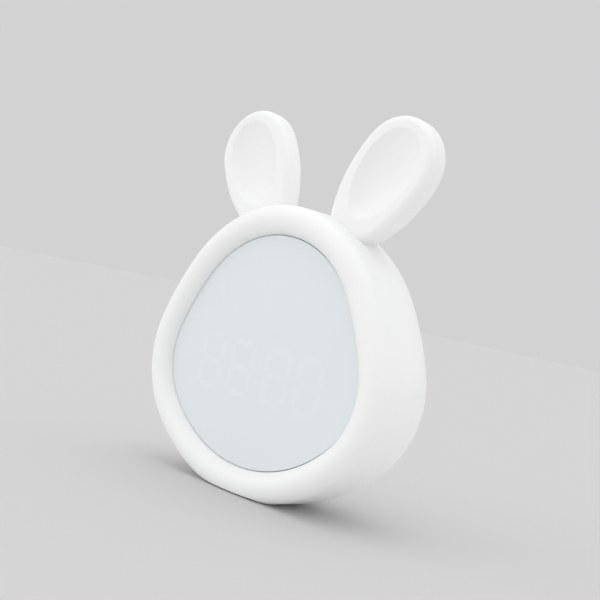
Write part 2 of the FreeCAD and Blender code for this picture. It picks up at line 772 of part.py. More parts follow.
def make_retainer():
    """The plate that holds the window and carries the display board on four posts."""
    frame = outline_plate("retainer_plate", "retainer_inset", "ring_back", "retainer_thick")
    through = ("ring_back - overlap", "retainer_thick + 2 * overlap")
    opening = rounded_plate("retainer_opening", "0", "digit_up", "mask_length + 2 * fit_gap",
                            "mask_height + 2 * fit_gap", "mask_corner + fit_gap", *through)
    posts = [rod(f"display_post_{n}", "post_radius", "mask_back - ring_back", across, "ring_back", up)
             for n, (across, up) in enumerate(DISPLAY_PLACES, 1)]
    pilots = [rod(f"display_pilot_{n}", "small_shank + screw_gap", "small_depth + overlap", across,
                  "mask_back - small_depth", up) for n, (across, up) in enumerate(DISPLAY_PLACES, 1)]
    clear = [rod(f"retainer_hole_{n}", "small_shank + fit_gap", through[1], across, through[0], up)
             for n, (across, up) in enumerate(RING_PLACES, 1)]
    below = box("retainer_below", "0", through[0], "floor_up / 2", "body_width", through[1],
                "floor_up + 2 * overlap")
    return cut("lens_retainer", fuse("retainer_solid", [frame] + posts), [opening, below] + pilots + clear)


def digit_openings():
    """The windows of the four digits and the two dots, and a light behind each."""
    windows = []
    lights = []
    through = ("ring_back + film_thick - overlap", "mask_thick + 2 * overlap")
    for place, digit in enumerate(DIGITS):
        for number, (across, up) in enumerate(SEGMENTS):
            spot = segment_place(digit, across, up)
            opening, light = ("digit_stroke", "segment_along"), ("led_width", "led_length")
            if across == 0:
                opening, light = ("segment_across", "digit_stroke"), ("led_length", "led_width")
            windows.append(box(f"segment_{place}_{number}", spot[0], through[0], spot[1], opening[0],
                               through[1], opening[1]))
            lights.append(box(f"light_{place}_{number}", spot[0], "mask_back - led_thick", spot[1], light[0],
                              "led_thick", light[1]))
    for number, up in enumerate(DOTS):
        windows.append(box(f"dot_{number}", "0", through[0], up, "digit_stroke", through[1], "digit_stroke"))
        lights.append(box(f"light_dot_{number}", "0", "mask_back - led_thick", up, "led_width", "led_thick",
                          "led_width"))
    return windows, lights


def make_display():
    film = rounded_plate("display_film", "0", "digit_up", "mask_length", "mask_height", "mask_corner",
                         "ring_back", "film_thick")
    mask_plate = rounded_plate("mask_plate", "0", "digit_up", "mask_length", "mask_height", "mask_corner",
                               "ring_back + film_thick", "mask_thick")
    windows, lights = digit_openings()
    board = rounded_plate("display_blank", "0", "digit_up", "mask_length + 2 * board_edge",
                          "mask_height + 2 * board_edge", "board_corner", "mask_back", "board_thick")
    holes = [rod(f"display_hole_{n}", "small_shank + fit_gap", "board_thick + 2 * overlap", across,
                 "mask_back - overlap", up) for n, (across, up) in enumerate(DISPLAY_PLACES, 1)]
    return [make_lens(), film, make_retainer(), cut("digit_mask", mask_plate, windows),
            cut("display_board", board, holes), group("segment_lights", lights),
            screws("display_screws", DISPLAY_PLACES, "display_back", "board_thick + small_depth - overlap"),
            screws("retainer_screws", RING_PLACES, "retainer_back", "retainer_thick + small_depth - overlap")]


# Ears: one solid each, with a concave dish in front and a spigot into the housing

def soften_dish(ear, name):
    """Round the edge where the dish meets the ear's flat face."""
    doc.recompute()
    edges = ear.Shape.Edges
    face = next(f for f in ear.Shape.Faces if f.BoundBox.YLength < 1e-6 and abs(f.CenterOfMass.y) < 1e-6)
    rim = min(face.Wires, key=lambda wire: wire.BoundBox.XLength)
    radius = size("dish_edge")
    soft = doc.addObject("Part::Fillet", name)
    soft.Base = ear
    soft.Edges = [(n, radius, radius) for n, e in enumerate(edges, 1) if any(e.isSame(w) for w in rim.Edges)]
    return soft


def make_ear(side, name):
    form = padded_body(f"ear_form_{name}", egg_outline, "0", "ear_thick")
    round_edges(form, f"ear_front_{name}", "0", "ear_front_round")
    round_edges(form, f"ear_back_{name}", "ear_thick", "ear_back_round")
    bowl = doc.addObject("Part::Ellipsoid", f"ear_bowl_{name}")
    spread = "sqrt(1 - pow((dish_bowl - dish_depth) / dish_bowl; 2))"
    bind(bowl, Radius1=f"dish_half_length / {spread}", Radius2=f"dish_half_width / {spread}",
         Radius3="dish_bowl")
    put(bowl, "0", "dish_depth - dish_bowl", "-dish_down")
    ear = soften_dish(cut(f"ear_dished_{name}", form, [bowl]), f"ear_soft_{name}")
    ear.Placement = ear_place(side)
    seated = cut(f"ear_seated_{name}", ear, [standing_form])
    spigot = ear_rod(f"ear_spigot_{name}", side, "spigot_radius", "spigot_start", "spigot_end")
    pilot = ear_rod(f"ear_pilot_{name}", side, "case_shank + screw_gap",
                    "spigot_end - ear_screw_length - overlap", "spigot_end + overlap")
    return cut(f"ear_{name}", fuse(f"ear_whole_{name}", [seated, spigot]), [pilot])


def make_ears():
    washers = []
    fasteners = []
    for side, name in ((1, "right"), (-1, "left")):
        plate = ear_rod(f"washer_plate_{name}", side, "ear_boss_radius - overlap", "spigot_end",
                        "spigot_end + washer_thick")
        bore = ear_rod(f"washer_bore_{name}", side, "case_shank + fit_gap", "spigot_end - overlap",
                       "spigot_end + washer_thick + overlap")
        washers.append(cut(f"washer_{name}", plate, [bore]))
        shank = ear_rod(f"ear_screw_shank_{name}", side, "case_shank", "spigot_end - ear_screw_length",
                        "spigot_end + washer_thick + overlap")
        head = ear_rod(f"ear_screw_head_{name}", side, "case_head", "spigot_end + washer_thick",
                       "spigot_end + washer_thick + case_head_thick")
        fasteners.append(fuse(f"ear_screw_{name}", [shank, head]))
    return [make_ear(1, "right"), make_ear(-1, "left"), group("ear_washers", washers),
            group("ear_screws", fasteners)]


# Buttons and the alarm switch: each cap and stem travels as one moving body

def make_button(name, across):
    """A cap with a brim behind the panel, a plunger and a shallow hollow for the finger."""
    seat = "panel_inner - 0.1"
    cap = rod(name + "_cap", "button_radius", f"button_top - ({seat})", across, seat, "button_up")
    brim = rod(name + "_brim", "button_radius + button_brim", "button_flange", across,
               f"{seat} - button_flange", "button_up")
    plunger = rod(name + "_plunger", "plunger_radius", "panel_inner - stem_top", across, "stem_top",
                  "button_up")
    finger = doc.addObject("Part::Ellipsoid", name + "_hollow")
    bind(finger, Radius1="0.8 * button_radius", Radius2="0.8 * button_radius", Radius3="finger_hollow")
    put(finger, across, "button_top", "button_up")
    return cut(name, fuse(name + "_solid", [cap, brim, plunger]), [finger])


def make_buttons():
    pieces = []
    switches = []
    for number, name in enumerate(BUTTONS):
        across = button_across(number)
        pieces.append(make_button(name, across))
        pieces.append(rod(name.replace("button", "stem"), "stem_radius", "2 * stem_proud", across,
                          "stem_top - 2 * stem_proud", "button_up"))
        case = box(f"switch_case_{number}", across, "main_back", "button_up", "switch_side", "switch_thick",
                   "switch_side")
        well = rod(f"switch_well_{number}", "stem_radius + fit_gap", "switch_thick", across,
                   "switch_top - stem_proud - button_travel - 2 * fit_gap", "button_up")
        switches.append(cut(f"switch_{number}", case, [well]))
    return pieces + [group("button_switches", switches)]


def make_alarm_switch():
    """A sliding knob with a cover that closes its slot, and the switch that it moves."""
    middle = "knob_across + knob_travel / 2"
    knob = box("knob_block", "knob_across", "knob_cover_front - slide_gap", "row_two_up", "knob_length",
               "button_top - knob_cover_front + slide_gap", "knob_width")
    cover = box("knob_cover", "knob_across", "knob_cover_front", "row_two_up",
                "knob_slot + knob_travel + overlap", "knob_cover_thick", "knob_width + 2 * button_brim")
    foot = box("knob_foot", "knob_across", "switch_top - knob_foot_sunk", "row_two_up", "knob_foot_length",
               "knob_cover_front - switch_top + knob_foot_sunk", "knob_foot_width")
    case = box("slider_case", middle, "main_back", "row_two_up", "slider_length", "switch_thick",
               "slider_width")
    track = box("slider_track", middle, "switch_top - knob_foot_sunk - slide_gap", "row_two_up",
                "knob_foot_length + knob_travel + 2 * slide_gap", "2 * overlap",
                "knob_foot_width + 2 * slide_gap")
    return [fuse("alarm_knob", [knob, cover, foot]), cut("alarm_switch_case", case, [track])]


# Main board and what it carries

BOARD_SOCKETS = [("-27", "recess_up - 9"), ("24", "recess_up - 9"), ("24", "recess_up + 9")]


def make_usb_socket():
    """A metal shell with round ends, open at the back, and the tongue inside it."""
    shell = rounded_plate("usb_shell", "usb_across", "row_two_up", "usb_length", "usb_height",
                          "usb_height / 2 - 0.01", "main_back", "usb_depth")
    mouth = rounded_plate("usb_mouth", "usb_across", "row_two_up", "usb_length - 2 * usb_wall",
                          "usb_height - 2 * usb_wall", "usb_height / 2 - usb_wall - 0.01",
                          "main_back + usb_depth - usb_mouth_depth", "usb_mouth_depth + overlap")
    tongue = box("usb_tongue", "usb_across", "main_back + usb_depth - usb_mouth_depth - usb_wall",
                 "row_two_up", "tongue_length", "usb_mouth_depth - 2 * usb_wall", "tongue_thick")
    return fuse("usb_socket", [cut("usb_shell_open", shell, [mouth]), tongue])


def make_main_board():
    blank = rounded_plate("main_blank", "0", "recess_up", "main_length", "recess_height", "board_corner",
                          "main_front", "board_thick")
    holes = [rod(f"main_hole_{n}", "small_shank + fit_gap", "board_thick + 2 * overlap", across,
                 "main_front - overlap", up) for n, (across, up) in enumerate(MAIN_PLACES, 1)]
    fasteners = [screw(f"main_screw_{n}", across, "main_front", up, "back",
                       "board_thick + small_depth - overlap")
                 for n, (across, up) in enumerate(MAIN_PLACES, 1)]
    chip = box("control_chip", "2", "main_front - chip_thick", "recess_up", "chip_side", "chip_thick",
               "chip_side")
    crystal = box("clock_crystal", "-9", "main_front - crystal_thick", "recess_up + 3", "crystal_width",
                  "crystal_thick", "crystal_length")
    capacitors = [rod(f"capacitor_{n}", "capacitor_radius", "capacitor_length", across,
                      "main_front - capacitor_length", "recess_up - 6")
                  for n, across in enumerate(("-12", "-19"), 1)]
    sockets = [box(f"socket_{n}", across, "main_front - socket_thick", up, "socket_length", "socket_thick",
                   "socket_height") for n, (across, up) in enumerate(BOARD_SOCKETS, 1)]
    return [cut("main_board", blank, holes), group("main_board_screws", fasteners), make_usb_socket(), chip,
            crystal, group("capacitors", capacitors), group("lead_sockets", sockets)]


# Loudspeaker: ring frame, cone and magnet

def make_speaker():
    ring = rod("frame_ring", "speaker_radius", "speaker_flange", "0", "speaker_front", "speaker_up")
    basket = cone("frame_basket", "magnet_radius + overlap", "speaker_radius - overlap",
                  "speaker_depth - magnet_thick", "magnet_front")
    inner = "speaker_radius - speaker_surround - fit_gap"
    space = cone("frame_space", "magnet_radius", inner, "speaker_depth - magnet_thick - basket_thick",
                 "magnet_front + basket_thick")
    bore = rod("frame_bore", inner, "speaker_flange", "0", "speaker_front + 0.3", "speaker_up")
    frame = cut("speaker_frame", fuse("frame_solid", [ring, basket]), [space, bore])
    rim = "speaker_radius - speaker_surround - 0.5"
    paper = cut("cone_shell",
                cone("cone_outer", "coil_radius", rim, "cone_depth",
                     "speaker_seat - cone_depth - fit_gap * 2"),
                [cone("cone_inner", "coil_radius", rim, "cone_depth",
                      "speaker_seat - cone_depth - fit_gap * 2 + cone_thick")])
    cap = doc.addObject("Part::Ellipsoid", "cone_cap")
    bind(cap, Radius1="coil_radius + 0.4", Radius2="coil_radius + 0.4", Radius3="1.2")
    put(cap, "0", "speaker_seat - cone_depth + fit_gap", "speaker_up")
    coil = rod("cone_coil", "coil_radius", "coil_length", "0", "magnet_front + basket_thick + 0.1",
               "speaker_up")
    magnet = rod("speaker_magnet", "magnet_radius", "magnet_thick", "0", "magnet_front - magnet_thick",
                 "speaker_up")
    fasteners = [screw(f"speaker_screw_{n}", across, "speaker_front", up, "back", "small_depth - 0.5",
                       head="speaker_head") for n, (across, up) in enumerate(SPEAKER_PLACES, 1)]
    return [frame, fuse("speaker_cone", [paper, cap, coil]), magnet, group("speaker_screws", fasteners)]


# Battery, its cradle and contacts

def make_battery():
    tray = box("tray_block", "0", "cell_back - cell_radius - cradle_wall", "(cell_up + cradle_up) / 2",
               "cradle_length", "2 * cell_radius + 2 * cradle_wall", "cell_up - cradle_up")
    space = rod("tray_space", "cell_radius + cell_gap", "cell_length + 3 * overlap",
                "-(cell_length + 3 * overlap) / 2", "cell_back", "cell_up", "right")
    tabs = [box(f"tray_tab_{n}", across, "cell_back - tab_width / 2", "cradle_up + tab_thick / 2",
                "tab_length", "tab_width", "tab_thick") for n, (across, _) in enumerate(CRADLE_PLACES, 1)]
    holes = [rod(f"tray_hole_{n}", "small_shank + fit_gap", "tab_thick + 2 * overlap", across, back,
                 "cradle_up - overlap", "up") for n, (across, back) in enumerate(CRADLE_PLACES, 1)]
    cradle = cut("battery_cradle", fuse("tray_solid", [tray] + tabs), [space] + holes)
    can = rod("cell_can", "cell_radius", "cell_length", "-cell_length / 2", "cell_back", "cell_up", "right")
    nub = rod("cell_nub", "nub_radius", "nub_length", "cell_length / 2", "cell_back", "cell_up", "right")
    plates = [box(f"contact_{name}", place, "cell_back - contact_width / 2", "cell_up + overlap",
                  "contact_thick", "contact_width", "contact_height")
              for name, place in (("plus", "cell_length / 2 + nub_length + contact_thick / 2"),
                                  ("minus", "-(cell_length / 2 + contact_thick / 2 + 0.1)"))]
    fasteners = [screw(f"cradle_screw_{n}", across, back, "cradle_up + tab_thick", "down",
                       "tab_thick + small_depth - overlap")
                 for n, (across, back) in enumerate(CRADLE_PLACES, 1)]
    return [cradle, fuse("battery_cell", [can, nub]), group("battery_contacts", plates),
            group("cradle_screws", fasteners)]


# Night light and touch plate

def make_night_light():
    blank = box("light_blank", "0", "light_front", "light_up + board_thick / 2", "light_length",
                "light_width", "board_thick")
    holes = [rod(f"light_hole_{n}", "small_shank + fit_gap", "board_thick + 2 * overlap", across, back,
                 "light_up - overlap", "up") for n, (across, back) in enumerate(LIGHT_PLACES, 1)]
    leds = [box(f"night_led_{n}", across, "light_middle - light_led / 2",
                "light_up + board_thick + light_led_thick / 2", "light_led", "light_led", "light_led_thick")
            for n, across in enumerate(("-22", "-9", "9", "22"), 1)]
    fasteners = [screw(f"light_screw_{n}", across, back, "light_up + board_thick", "down",
                       "board_thick + shelf_thick - 2 * fit_gap")
                 for n, (across, back) in enumerate(LIGHT_PLACES, 1)]
    return [cut("night_light_board", blank, holes), group("night_light_leds", leds),
            group("night_light_screws", fasteners)]


def make_touch_plate():
    """A thin plate under the crown, and the pin that joins it to the night light's board."""
    band = cut("touch_band", outline_plate("touch_outside", "wall + touch_gap", "light_front", "touch_width"),
               [outline_plate("touch_inside", "wall + touch_gap + touch_thick", "light_front - overlap",
                              "touch_width + 2 * overlap")])
    patch = box("touch_patch", "0", "light_front", "crown_level + crown_radius", "touch_length",
                "touch_width", "crown_radius / 2")
    length = "light_down - wall - touch_gap - touch_thick - board_thick - 0.1"
    contact = rod("touch_contact", "touch_pin", length, "0", "light_front + touch_width / 2",
                  "light_up + board_thick", "up")
    return [common("touch_plate", [band, patch]), contact]


# Foot pad and the screws that hold the halves together

def make_foot_pad():
    return rounded_slab("foot_pad", "0", "pad_back - pad_width / 2", "pad_length", "pad_width", "pad_corner",
                        "0", "pad_proud + pad_sunk")


def make_case_screws():
    return group("case_screws", [screw(f"case_screw_{n}", across, "seam + case_seat", up, "forward",
                                       "case_screw_length", "case", "case_head")
                                 for n, (across, up) in enumerate(CASE_PLACES, 1)])


# Leads inside the housing: straight runs joined by tangent arcs

def route(points):
    """A wire through the points whose corners are arcs as large as the runs allow."""
    spots = [Vector(*p) for p in points]
    edges = []
    last = spots[0]
    for before, corner, after in zip(spots, spots[1:], spots[2:]):
        back, ahead = before - corner, after - corner
        reach = 0.45 * min(back.Length, ahead.Length)
        back.normalize()
        ahead.normalize()
        half = back.getAngle(ahead) / 2
        radius = reach * math.tan(half)
        middle = (back + ahead).normalize() * (radius / math.sin(half) - radius)
        start, end = corner + back * reach, corner + ahead * reach
        edges.append(Part.LineSegment(last, start).toShape())
        edges.append(Part.Arc(start, corner + middle, end).toShape())
        print("bend radius", round(radius, 2))
        last = end
    edges.append(Part.LineSegment(last, spots[-1]).toShape())
    return Part.Wire(edges)


def lead(name, points):
    """A thin round lead along its route."""
    path = route(points)
    radius = size("lead_radius")
    ring = Part.Wire(Part.Circle(Vector(*points[0]), Vector(*points[1]) - Vector(*points[0]),
                                 radius).toShape())
    item = doc.addObject("Part::Feature", name)
    item.Shape = path.makePipeShell([ring], True, False)
    item.Placement = FreeCAD.Placement()
    print(name, "volume", round(item.Shape.Volume, 1), "of", round(math.pi * radius ** 2 * path.Length, 1))
    return item


LEADS = {
    "battery_lead": [
        ("-(cell_length / 2 + contact_thick + 0.1)", "cell_back", "cell_up + 1"),
        ("-(cell_length / 2 + contact_thick + 6.1)", "cell_back", "cell_up + 1"),
        ("-37", "-3", "30"), ("-31", "3", "41"),
        ("-27", "socket_front", "recess_up - 17.25"), ("-27", "socket_front", "recess_up - 11.25")],
    "speaker_lead": [
        ("4", "magnet_rear", "speaker_up + 3"), ("4", "magnet_rear - 6", "speaker_up + 3"), ("14", "1", "38"),
        ("24", "socket_front", "recess_up - 17.25"), ("24", "socket_front", "recess_up - 11.25")],
    "night_light_lead": [
        ("24", "socket_front", "recess_up + 11.25"), ("24", "socket_front", "recess_up + 15.25"),
        ("25", "light_middle", "light_up - 4"), ("25", "light_middle", "light_up")],
}


def make_leads():
    """Each lead runs from the piece that it serves to its socket on the main board."""
    return [lead(name, [tuple(size(text) for text in point) for point in points])
            for name, points in LEADS.items()]


def make_ribbon():
    """A flat cable that arches between the two boards."""
    front, back, up = size("display_back"), size("main_front"), size("recess_up - 1")
    across, stub, rise = -19, 3.5, 4
    points = [(across, front, up), (across, front + stub, up), (across, (front + back) / 2, up + rise),
              (across, back - stub, up), (across, back, up)]
    x, z = size("ribbon_width / 2"), size("ribbon_thick / 2")
    corners = [Vector(across + a, front, up + b) for a, b in ((-x, -z), (x, -z), (x, z), (-x, z), (-x, -z))]
    item = doc.addObject("Part::Feature", "display_ribbon")
    item.Shape = route(points).makePipeShell([Part.makePolygon(corners)], True, False)
    item.Placement = FreeCAD.Placement()
    return item


# Build, check and write every piece

def main():
    pieces = [make_front_housing(), make_rear_cover(), make_foot_pad(), make_case_screws(), make_ribbon()]
    pieces += make_display() + make_ears() + make_buttons() + make_alarm_switch() + make_main_board()
    pieces += make_speaker() + make_battery() + make_night_light() + make_touch_plate() + make_leads()
    doc.recompute()
    for item in doc.Objects:
        if "Invalid" in item.State or "Error" in item.State:
            raise RuntimeError(f"{item.Name} failed: {item.State}")
    for piece in pieces:
        piece.Label = piece.Name
        if piece.Shape.isNull() or not piece.Shape.isValid() or not piece.Shape.Solids:
            raise RuntimeError(f"{piece.Name} has no valid solid")
    os.makedirs("parts", exist_ok=True)
    for piece in pieces:
        piece.Shape.exportStep(f"parts/{piece.Name}.step")
        print(piece.Name, len(piece.Shape.Solids), "solid,", round(piece.Shape.Volume), "mm3")
    print(len(pieces), "pieces")


main()
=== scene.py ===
# %% [markdown]
# # A bedside alarm clock with a night light
#
# The clock is a white moulding with a rounded triangular body, a half-round rim round a recessed
# display window, and two ears with concave dishes. The frame gives all its pieces at their places.
# The pieces that show from outside get new surfaces here, worked out with numpy, and every piece
# gets a finish that is built from shader nodes.

# %% Load the frame
import json
import bpy
import numpy as np
from mathutils import Matrix, Vector


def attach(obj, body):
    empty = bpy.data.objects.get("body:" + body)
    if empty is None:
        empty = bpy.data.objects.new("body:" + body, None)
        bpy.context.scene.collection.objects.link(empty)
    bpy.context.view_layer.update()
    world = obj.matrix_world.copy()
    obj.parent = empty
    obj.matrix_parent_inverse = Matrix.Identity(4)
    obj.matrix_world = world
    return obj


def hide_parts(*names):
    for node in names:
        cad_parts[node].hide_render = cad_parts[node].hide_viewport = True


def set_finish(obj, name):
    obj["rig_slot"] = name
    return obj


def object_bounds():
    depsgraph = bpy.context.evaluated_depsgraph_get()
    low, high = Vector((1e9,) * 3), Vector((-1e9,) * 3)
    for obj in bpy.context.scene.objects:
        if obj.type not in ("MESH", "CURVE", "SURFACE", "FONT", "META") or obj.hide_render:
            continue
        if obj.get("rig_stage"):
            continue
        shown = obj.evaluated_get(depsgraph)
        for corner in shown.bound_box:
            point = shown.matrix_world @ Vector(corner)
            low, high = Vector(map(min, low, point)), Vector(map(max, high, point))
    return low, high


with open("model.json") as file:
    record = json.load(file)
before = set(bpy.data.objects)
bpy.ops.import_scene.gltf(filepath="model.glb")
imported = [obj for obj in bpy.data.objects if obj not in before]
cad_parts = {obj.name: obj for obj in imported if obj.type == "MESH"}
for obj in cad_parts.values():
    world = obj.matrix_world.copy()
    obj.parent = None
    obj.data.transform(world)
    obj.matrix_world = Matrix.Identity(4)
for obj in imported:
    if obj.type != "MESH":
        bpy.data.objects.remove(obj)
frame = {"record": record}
cad_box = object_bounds()
MM, CM3 = 0.001, 0.000001
SLOTS = {part["node"]: part["material_slot"] for part in frame["record"]["subparts"]}
print("the clock measures", [round((b - a) / MM, 1) for a, b in zip(*cad_box)], "mm in", len(SLOTS), "nodes")

# %% [markdown]
# ## Camera
#
# The clock is seen from its right front corner, level with the middle of its height, and the picture
# itself is turned by some twelve degrees. The camera could be turned through three angles in a row;
# it is simpler to give it the direction in which it looks and its upward direction, and to build
# its axes from those two.

# %% Camera
CAMERA_PLACE = Vector((264.2, -285.6, 75.0)) * MM
CAMERA_LOOK = Vector((-0.68477, 0.72876, -0.00244))
CAMERA_UP = Vector((-0.15154, -0.13911, 0.97861))
CAMERA_LENS, CAMERA_SENSOR, CAMERA_NEAR = 61.17, 36, 0.01


def make_camera():
    """The axes are back, right = up x back, and back x right, so up need not be quite square to back."""
    data = bpy.data.cameras.new("camera")
    data.lens = CAMERA_LENS
    data.sensor_width = CAMERA_SENSOR
    data.clip_start = CAMERA_NEAR
    camera = bpy.data.objects.new("camera", data)
    bpy.context.scene.collection.objects.link(camera)
    back = -CAMERA_LOOK.normalized()
    right = CAMERA_UP.cross(back).normalized()
    axes = Matrix((right, back.cross(right), back)).transposed()
    camera.matrix_world = Matrix.Translation(CAMERA_PLACE) @ axes.to_4x4()
    bpy.context.scene.camera = camera
    print("camera", round(CAMERA_PLACE.length / MM), "mm from the origin")


make_camera()

# %% [markdown]
# ## Floor and light
#
# A white thing shows its form only through soft differences of light. Lamps at a place would light
# the floor in a pool, and its far edge would show as a horizon. Two broad suns and an even sky
# light the whole floor alike instead, so it meets a background of nearly the same tone, and its far
# edge is only a faint line. The stronger sun stands straight above and makes the tops brighter than
# the undersides; the weaker one comes from the left front, a little above the floor, and keeps the
# rim and the dishes from going dull. The floor is pale paper that throws light back up at the clock.
# Seen by the camera itself it is darker, close to the background's tone, and the light path tells
# the two cases apart.

# %% Floor and light
FLOOR_COLOUR = (0.575, 0.563, 0.567, 1)
FLOOR_BOUNCE = (0.72, 0.71, 0.71, 1)
BACKGROUND = (0.652, 0.643, 0.648, 1)
FLOOR_HALF, FLOOR_ROUGHNESS, FLOOR_SHINE = 6.0, 0.95, 0.1
SKY_STRENGTH, SKY_TINT = 0.95, (0.985, 0.995, 1.0, 1)
SUNS = {"sun_above": ((0.0, 0.0, 1.0), 0.64, 1.1), "sun_front": ((-0.8, -0.8, 0.3), 0.40, 1.1)}


def make_floor():
    """A square of paper: a camera ray sees one colour, and all other rays meet the paler one."""
    mesh = bpy.data.meshes.new("floor")
    corners = [(x * FLOOR_HALF, y * FLOOR_HALF, 0) for x, y in ((-1, -1), (1, -1), (1, 1), (-1, 1))]
    mesh.from_pydata(corners, [], [(0, 1, 2, 3)])
    floor = bpy.data.objects.new("floor", mesh)
    bpy.context.scene.collection.objects.link(floor)
    material = bpy.data.materials.new("floor_paper")
    material.use_nodes = True
    nodes, links = material.node_tree.nodes, material.node_tree.links
    shader = nodes["Principled BSDF"]
    path, tone = nodes.new("ShaderNodeLightPath"), nodes.new("ShaderNodeMix")
    tone.data_type = "RGBA"
    links.new(path.outputs["Is Camera Ray"], tone.inputs[0])
    tone.inputs[6].default_value, tone.inputs[7].default_value = FLOOR_BOUNCE, FLOOR_COLOUR
    links.new(tone.outputs[2], shader.inputs["Base Color"])
    shader.inputs["Roughness"].default_value = FLOOR_ROUGHNESS
    shader.inputs["Specular IOR Level"].default_value = FLOOR_SHINE
    mesh.materials.append(material)
    floor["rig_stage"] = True


def make_sun(name, towards, energy, spread):
    """A sun that shines from a direction; spread is the angle that it fills, in radians."""
    data = bpy.data.lights.new(name, "SUN")
    data.energy = energy
    data.angle = spread
    sun = bpy.data.objects.new(name, data)
    bpy.context.scene.collection.objects.link(sun)
    sun.matrix_world = Vector(towards).to_track_quat("Z", "Y").to_matrix().to_4x4()


def make_sky():
    """An even sky that lights the clock; the camera, glossy and clear surfaces see the background."""
    world = bpy.data.worlds.new("soft_room")
    bpy.context.scene.world = world
    world.use_nodes = True
    nodes, links = world.node_tree.nodes, world.node_tree.links
    nodes.clear()
    kinds = ("Background", "Background", "LightPath", "MixShader", "OutputWorld")
    seen, room, path, mix, out = (nodes.new("ShaderNode" + kind) for kind in kinds)
    seen.inputs["Color"].default_value = BACKGROUND
    room.inputs["Color"].default_value = SKY_TINT
    room.inputs["Strength"].default_value = SKY_STRENGTH
    unlit = path.outputs["Is Camera Ray"]
    for ray in ("Is Glossy Ray", "Is Transmission Ray"):
        either = nodes.new("ShaderNodeMath")
        either.operation = "MAXIMUM"
        links.new(unlit, either.inputs[0])
        links.new(path.outputs[ray], either.inputs[1])
        unlit = either.outputs[0]
    links.new(unlit, mix.inputs[0])
    links.new(room.outputs[0], mix.inputs[1])
    links.new(seen.outputs[0], mix.inputs[2])
    links.new(mix.outputs[0], out.inputs["Surface"])


make_floor()
make_sky()
for sun, (towards, energy, spread) in SUNS.items():
    make_sun(sun, towards, energy, spread)
bpy.context.scene.view_settings.view_transform = "Standard"
print(len(SUNS), "suns and an even sky of strength", SKY_STRENGTH)

# %% [markdown]
# ## Surfaces from arrays
#
# Every new piece is a grid of points: the rows follow a profile, and each row goes once round an
# outline. One helper gives a grid its faces, and another makes a mesh of one grid or of several.
# Where the last profile row meets the first, the surface is a closed ring; where a row shrinks to a
# point it gets one vertex, a pole, so no hole and no doubled point is left. Edges that turn sharply
# are marked, and all others are shaded smooth.

# %% Grid to mesh
SHARP_TURN = 0.6


def grid(rows, ring=False, first_pole=None, last_pole=None):
    """Points and faces of rows[i, j]: i follows the profile, j goes round the outline and closes.
    A face joins (i, j), (i, j + 1), (i + 1, j + 1) and (i + 1, j), with j counted round. A pole is a
    single point beyond the first or the last row, joined to it by triangles."""
    count, around = rows.shape[:2]
    points = rows.reshape(-1, 3)
    i = np.arange(count if ring else count - 1)[:, None] * around
    j = np.arange(around)[None, :]
    ahead, below = (j + 1) % around, (i + around) % (count * around)
    faces = [np.stack([i + j, i + ahead, below + ahead, below + j], -1).reshape(-1, 4)]
    turn, onward = j[0], ahead[0]
    last_row = (count - 1) * around
    for pole, start, pair in ((first_pole, 0, (onward, turn)), (last_pole, last_row, (turn, onward))):
        if pole is not None:
            points = np.vstack([points, pole])
            tip = np.full(around, len(points) - 1)
            faces.append(np.stack([start + pair[0], start + pair[1], tip], -1))
    return points, faces


def mesh_of(name, *grids):
    """One mesh of one or more grids: each grid's faces count on from the points before it."""
    starts = np.cumsum([0] + [len(points) for points, _ in grids])
    faces = [(part + start).tolist() for (_, parts), start in zip(grids, starts) for part in parts]
    mesh = bpy.data.meshes.new(name)
    mesh.from_pydata(np.vstack([points for points, _ in grids]).tolist(), [], sum(faces, []))
    mesh.update()
    return mesh


def volume_of(mesh):
    """The volume that a mesh encloses: a sixth of the sum of its triangles' triple products."""
    mesh.calc_loop_triangles()
    corners = np.empty(len(mesh.loop_triangles) * 3, np.int32)
    mesh.loop_triangles.foreach_get("vertices", corners)
    points = np.empty(len(mesh.vertices) * 3)
    mesh.vertices.foreach_get("co", points)
    a, b, c = points.reshape(-1, 3)[corners.reshape(-1, 3)].transpose(1, 0, 2)
    return float((a * np.cross(b, c)).sum() / 6)


def make_piece(mesh, body, nodes, sharp=SHARP_TURN):
    """Turn the faces outwards, shade them, and let the piece stand for its nodes on their body."""
    if volume_of(mesh) < 0:
        mesh.flip_normals()
    mesh.shade_smooth()
    mesh.set_sharp_from_angle(angle=sharp)
    piece = bpy.data.objects.new(mesh.name, mesh)
    bpy.context.scene.collection.objects.link(piece)
    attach(piece, body)
    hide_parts(*nodes)
    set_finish(piece, SLOTS[nodes[0]])
    print(piece.name, "has", len(mesh.polygons), "faces and", round(volume_of(mesh) / CM3, 2), "cm3")
    return piece


def along_arc(centre, radius, first, last, steps):
    """Profile points on an arc, from one angle to another in degrees."""
    angle = np.radians(np.linspace(first, last, steps))
    return np.stack([centre[0] + radius * np.cos(angle), centre[1] + radius * np.sin(angle)], -1)


def between(start, end, steps):
    """Profile points on a straight line, without its two ends."""
    part = np.linspace(0, 1, steps + 2)[1:-1, None]
    return np.array(start) * (1 - part) + np.array(end) * part


print("edges that turn by more than", round(np.degrees(SHARP_TURN)), "degrees are sharp")

# %% [markdown]
# ## The body's outline
#
# Seen from the front, the body is six arcs that run into each other: a crown, two sides, two
# corners and a base. If a point is named by the direction of the outline's normal, moving the
# outline inwards is only a smaller radius about the same centres, so one function serves the rim,
# the window, the wall and the seam.

# %% Outline of the body
BODY_WIDTH, BODY_HEIGHT, BODY_DEPTH = 120.0, 109.7, 46.0
CROWN_RADIUS, SIDE_RADIUS, CORNER_RADIUS, CORNER_UP = 54.6, 108.0, 38.8, 47.66
FOOT_CUT, PAD_PROUD = 2.5, 0.5
FOOT_DROP = FOOT_CUT - PAD_PROUD
FRONT = -BODY_DEPTH / 2
OUTLINE_POINTS, FINE_STEPS = 420, 20001


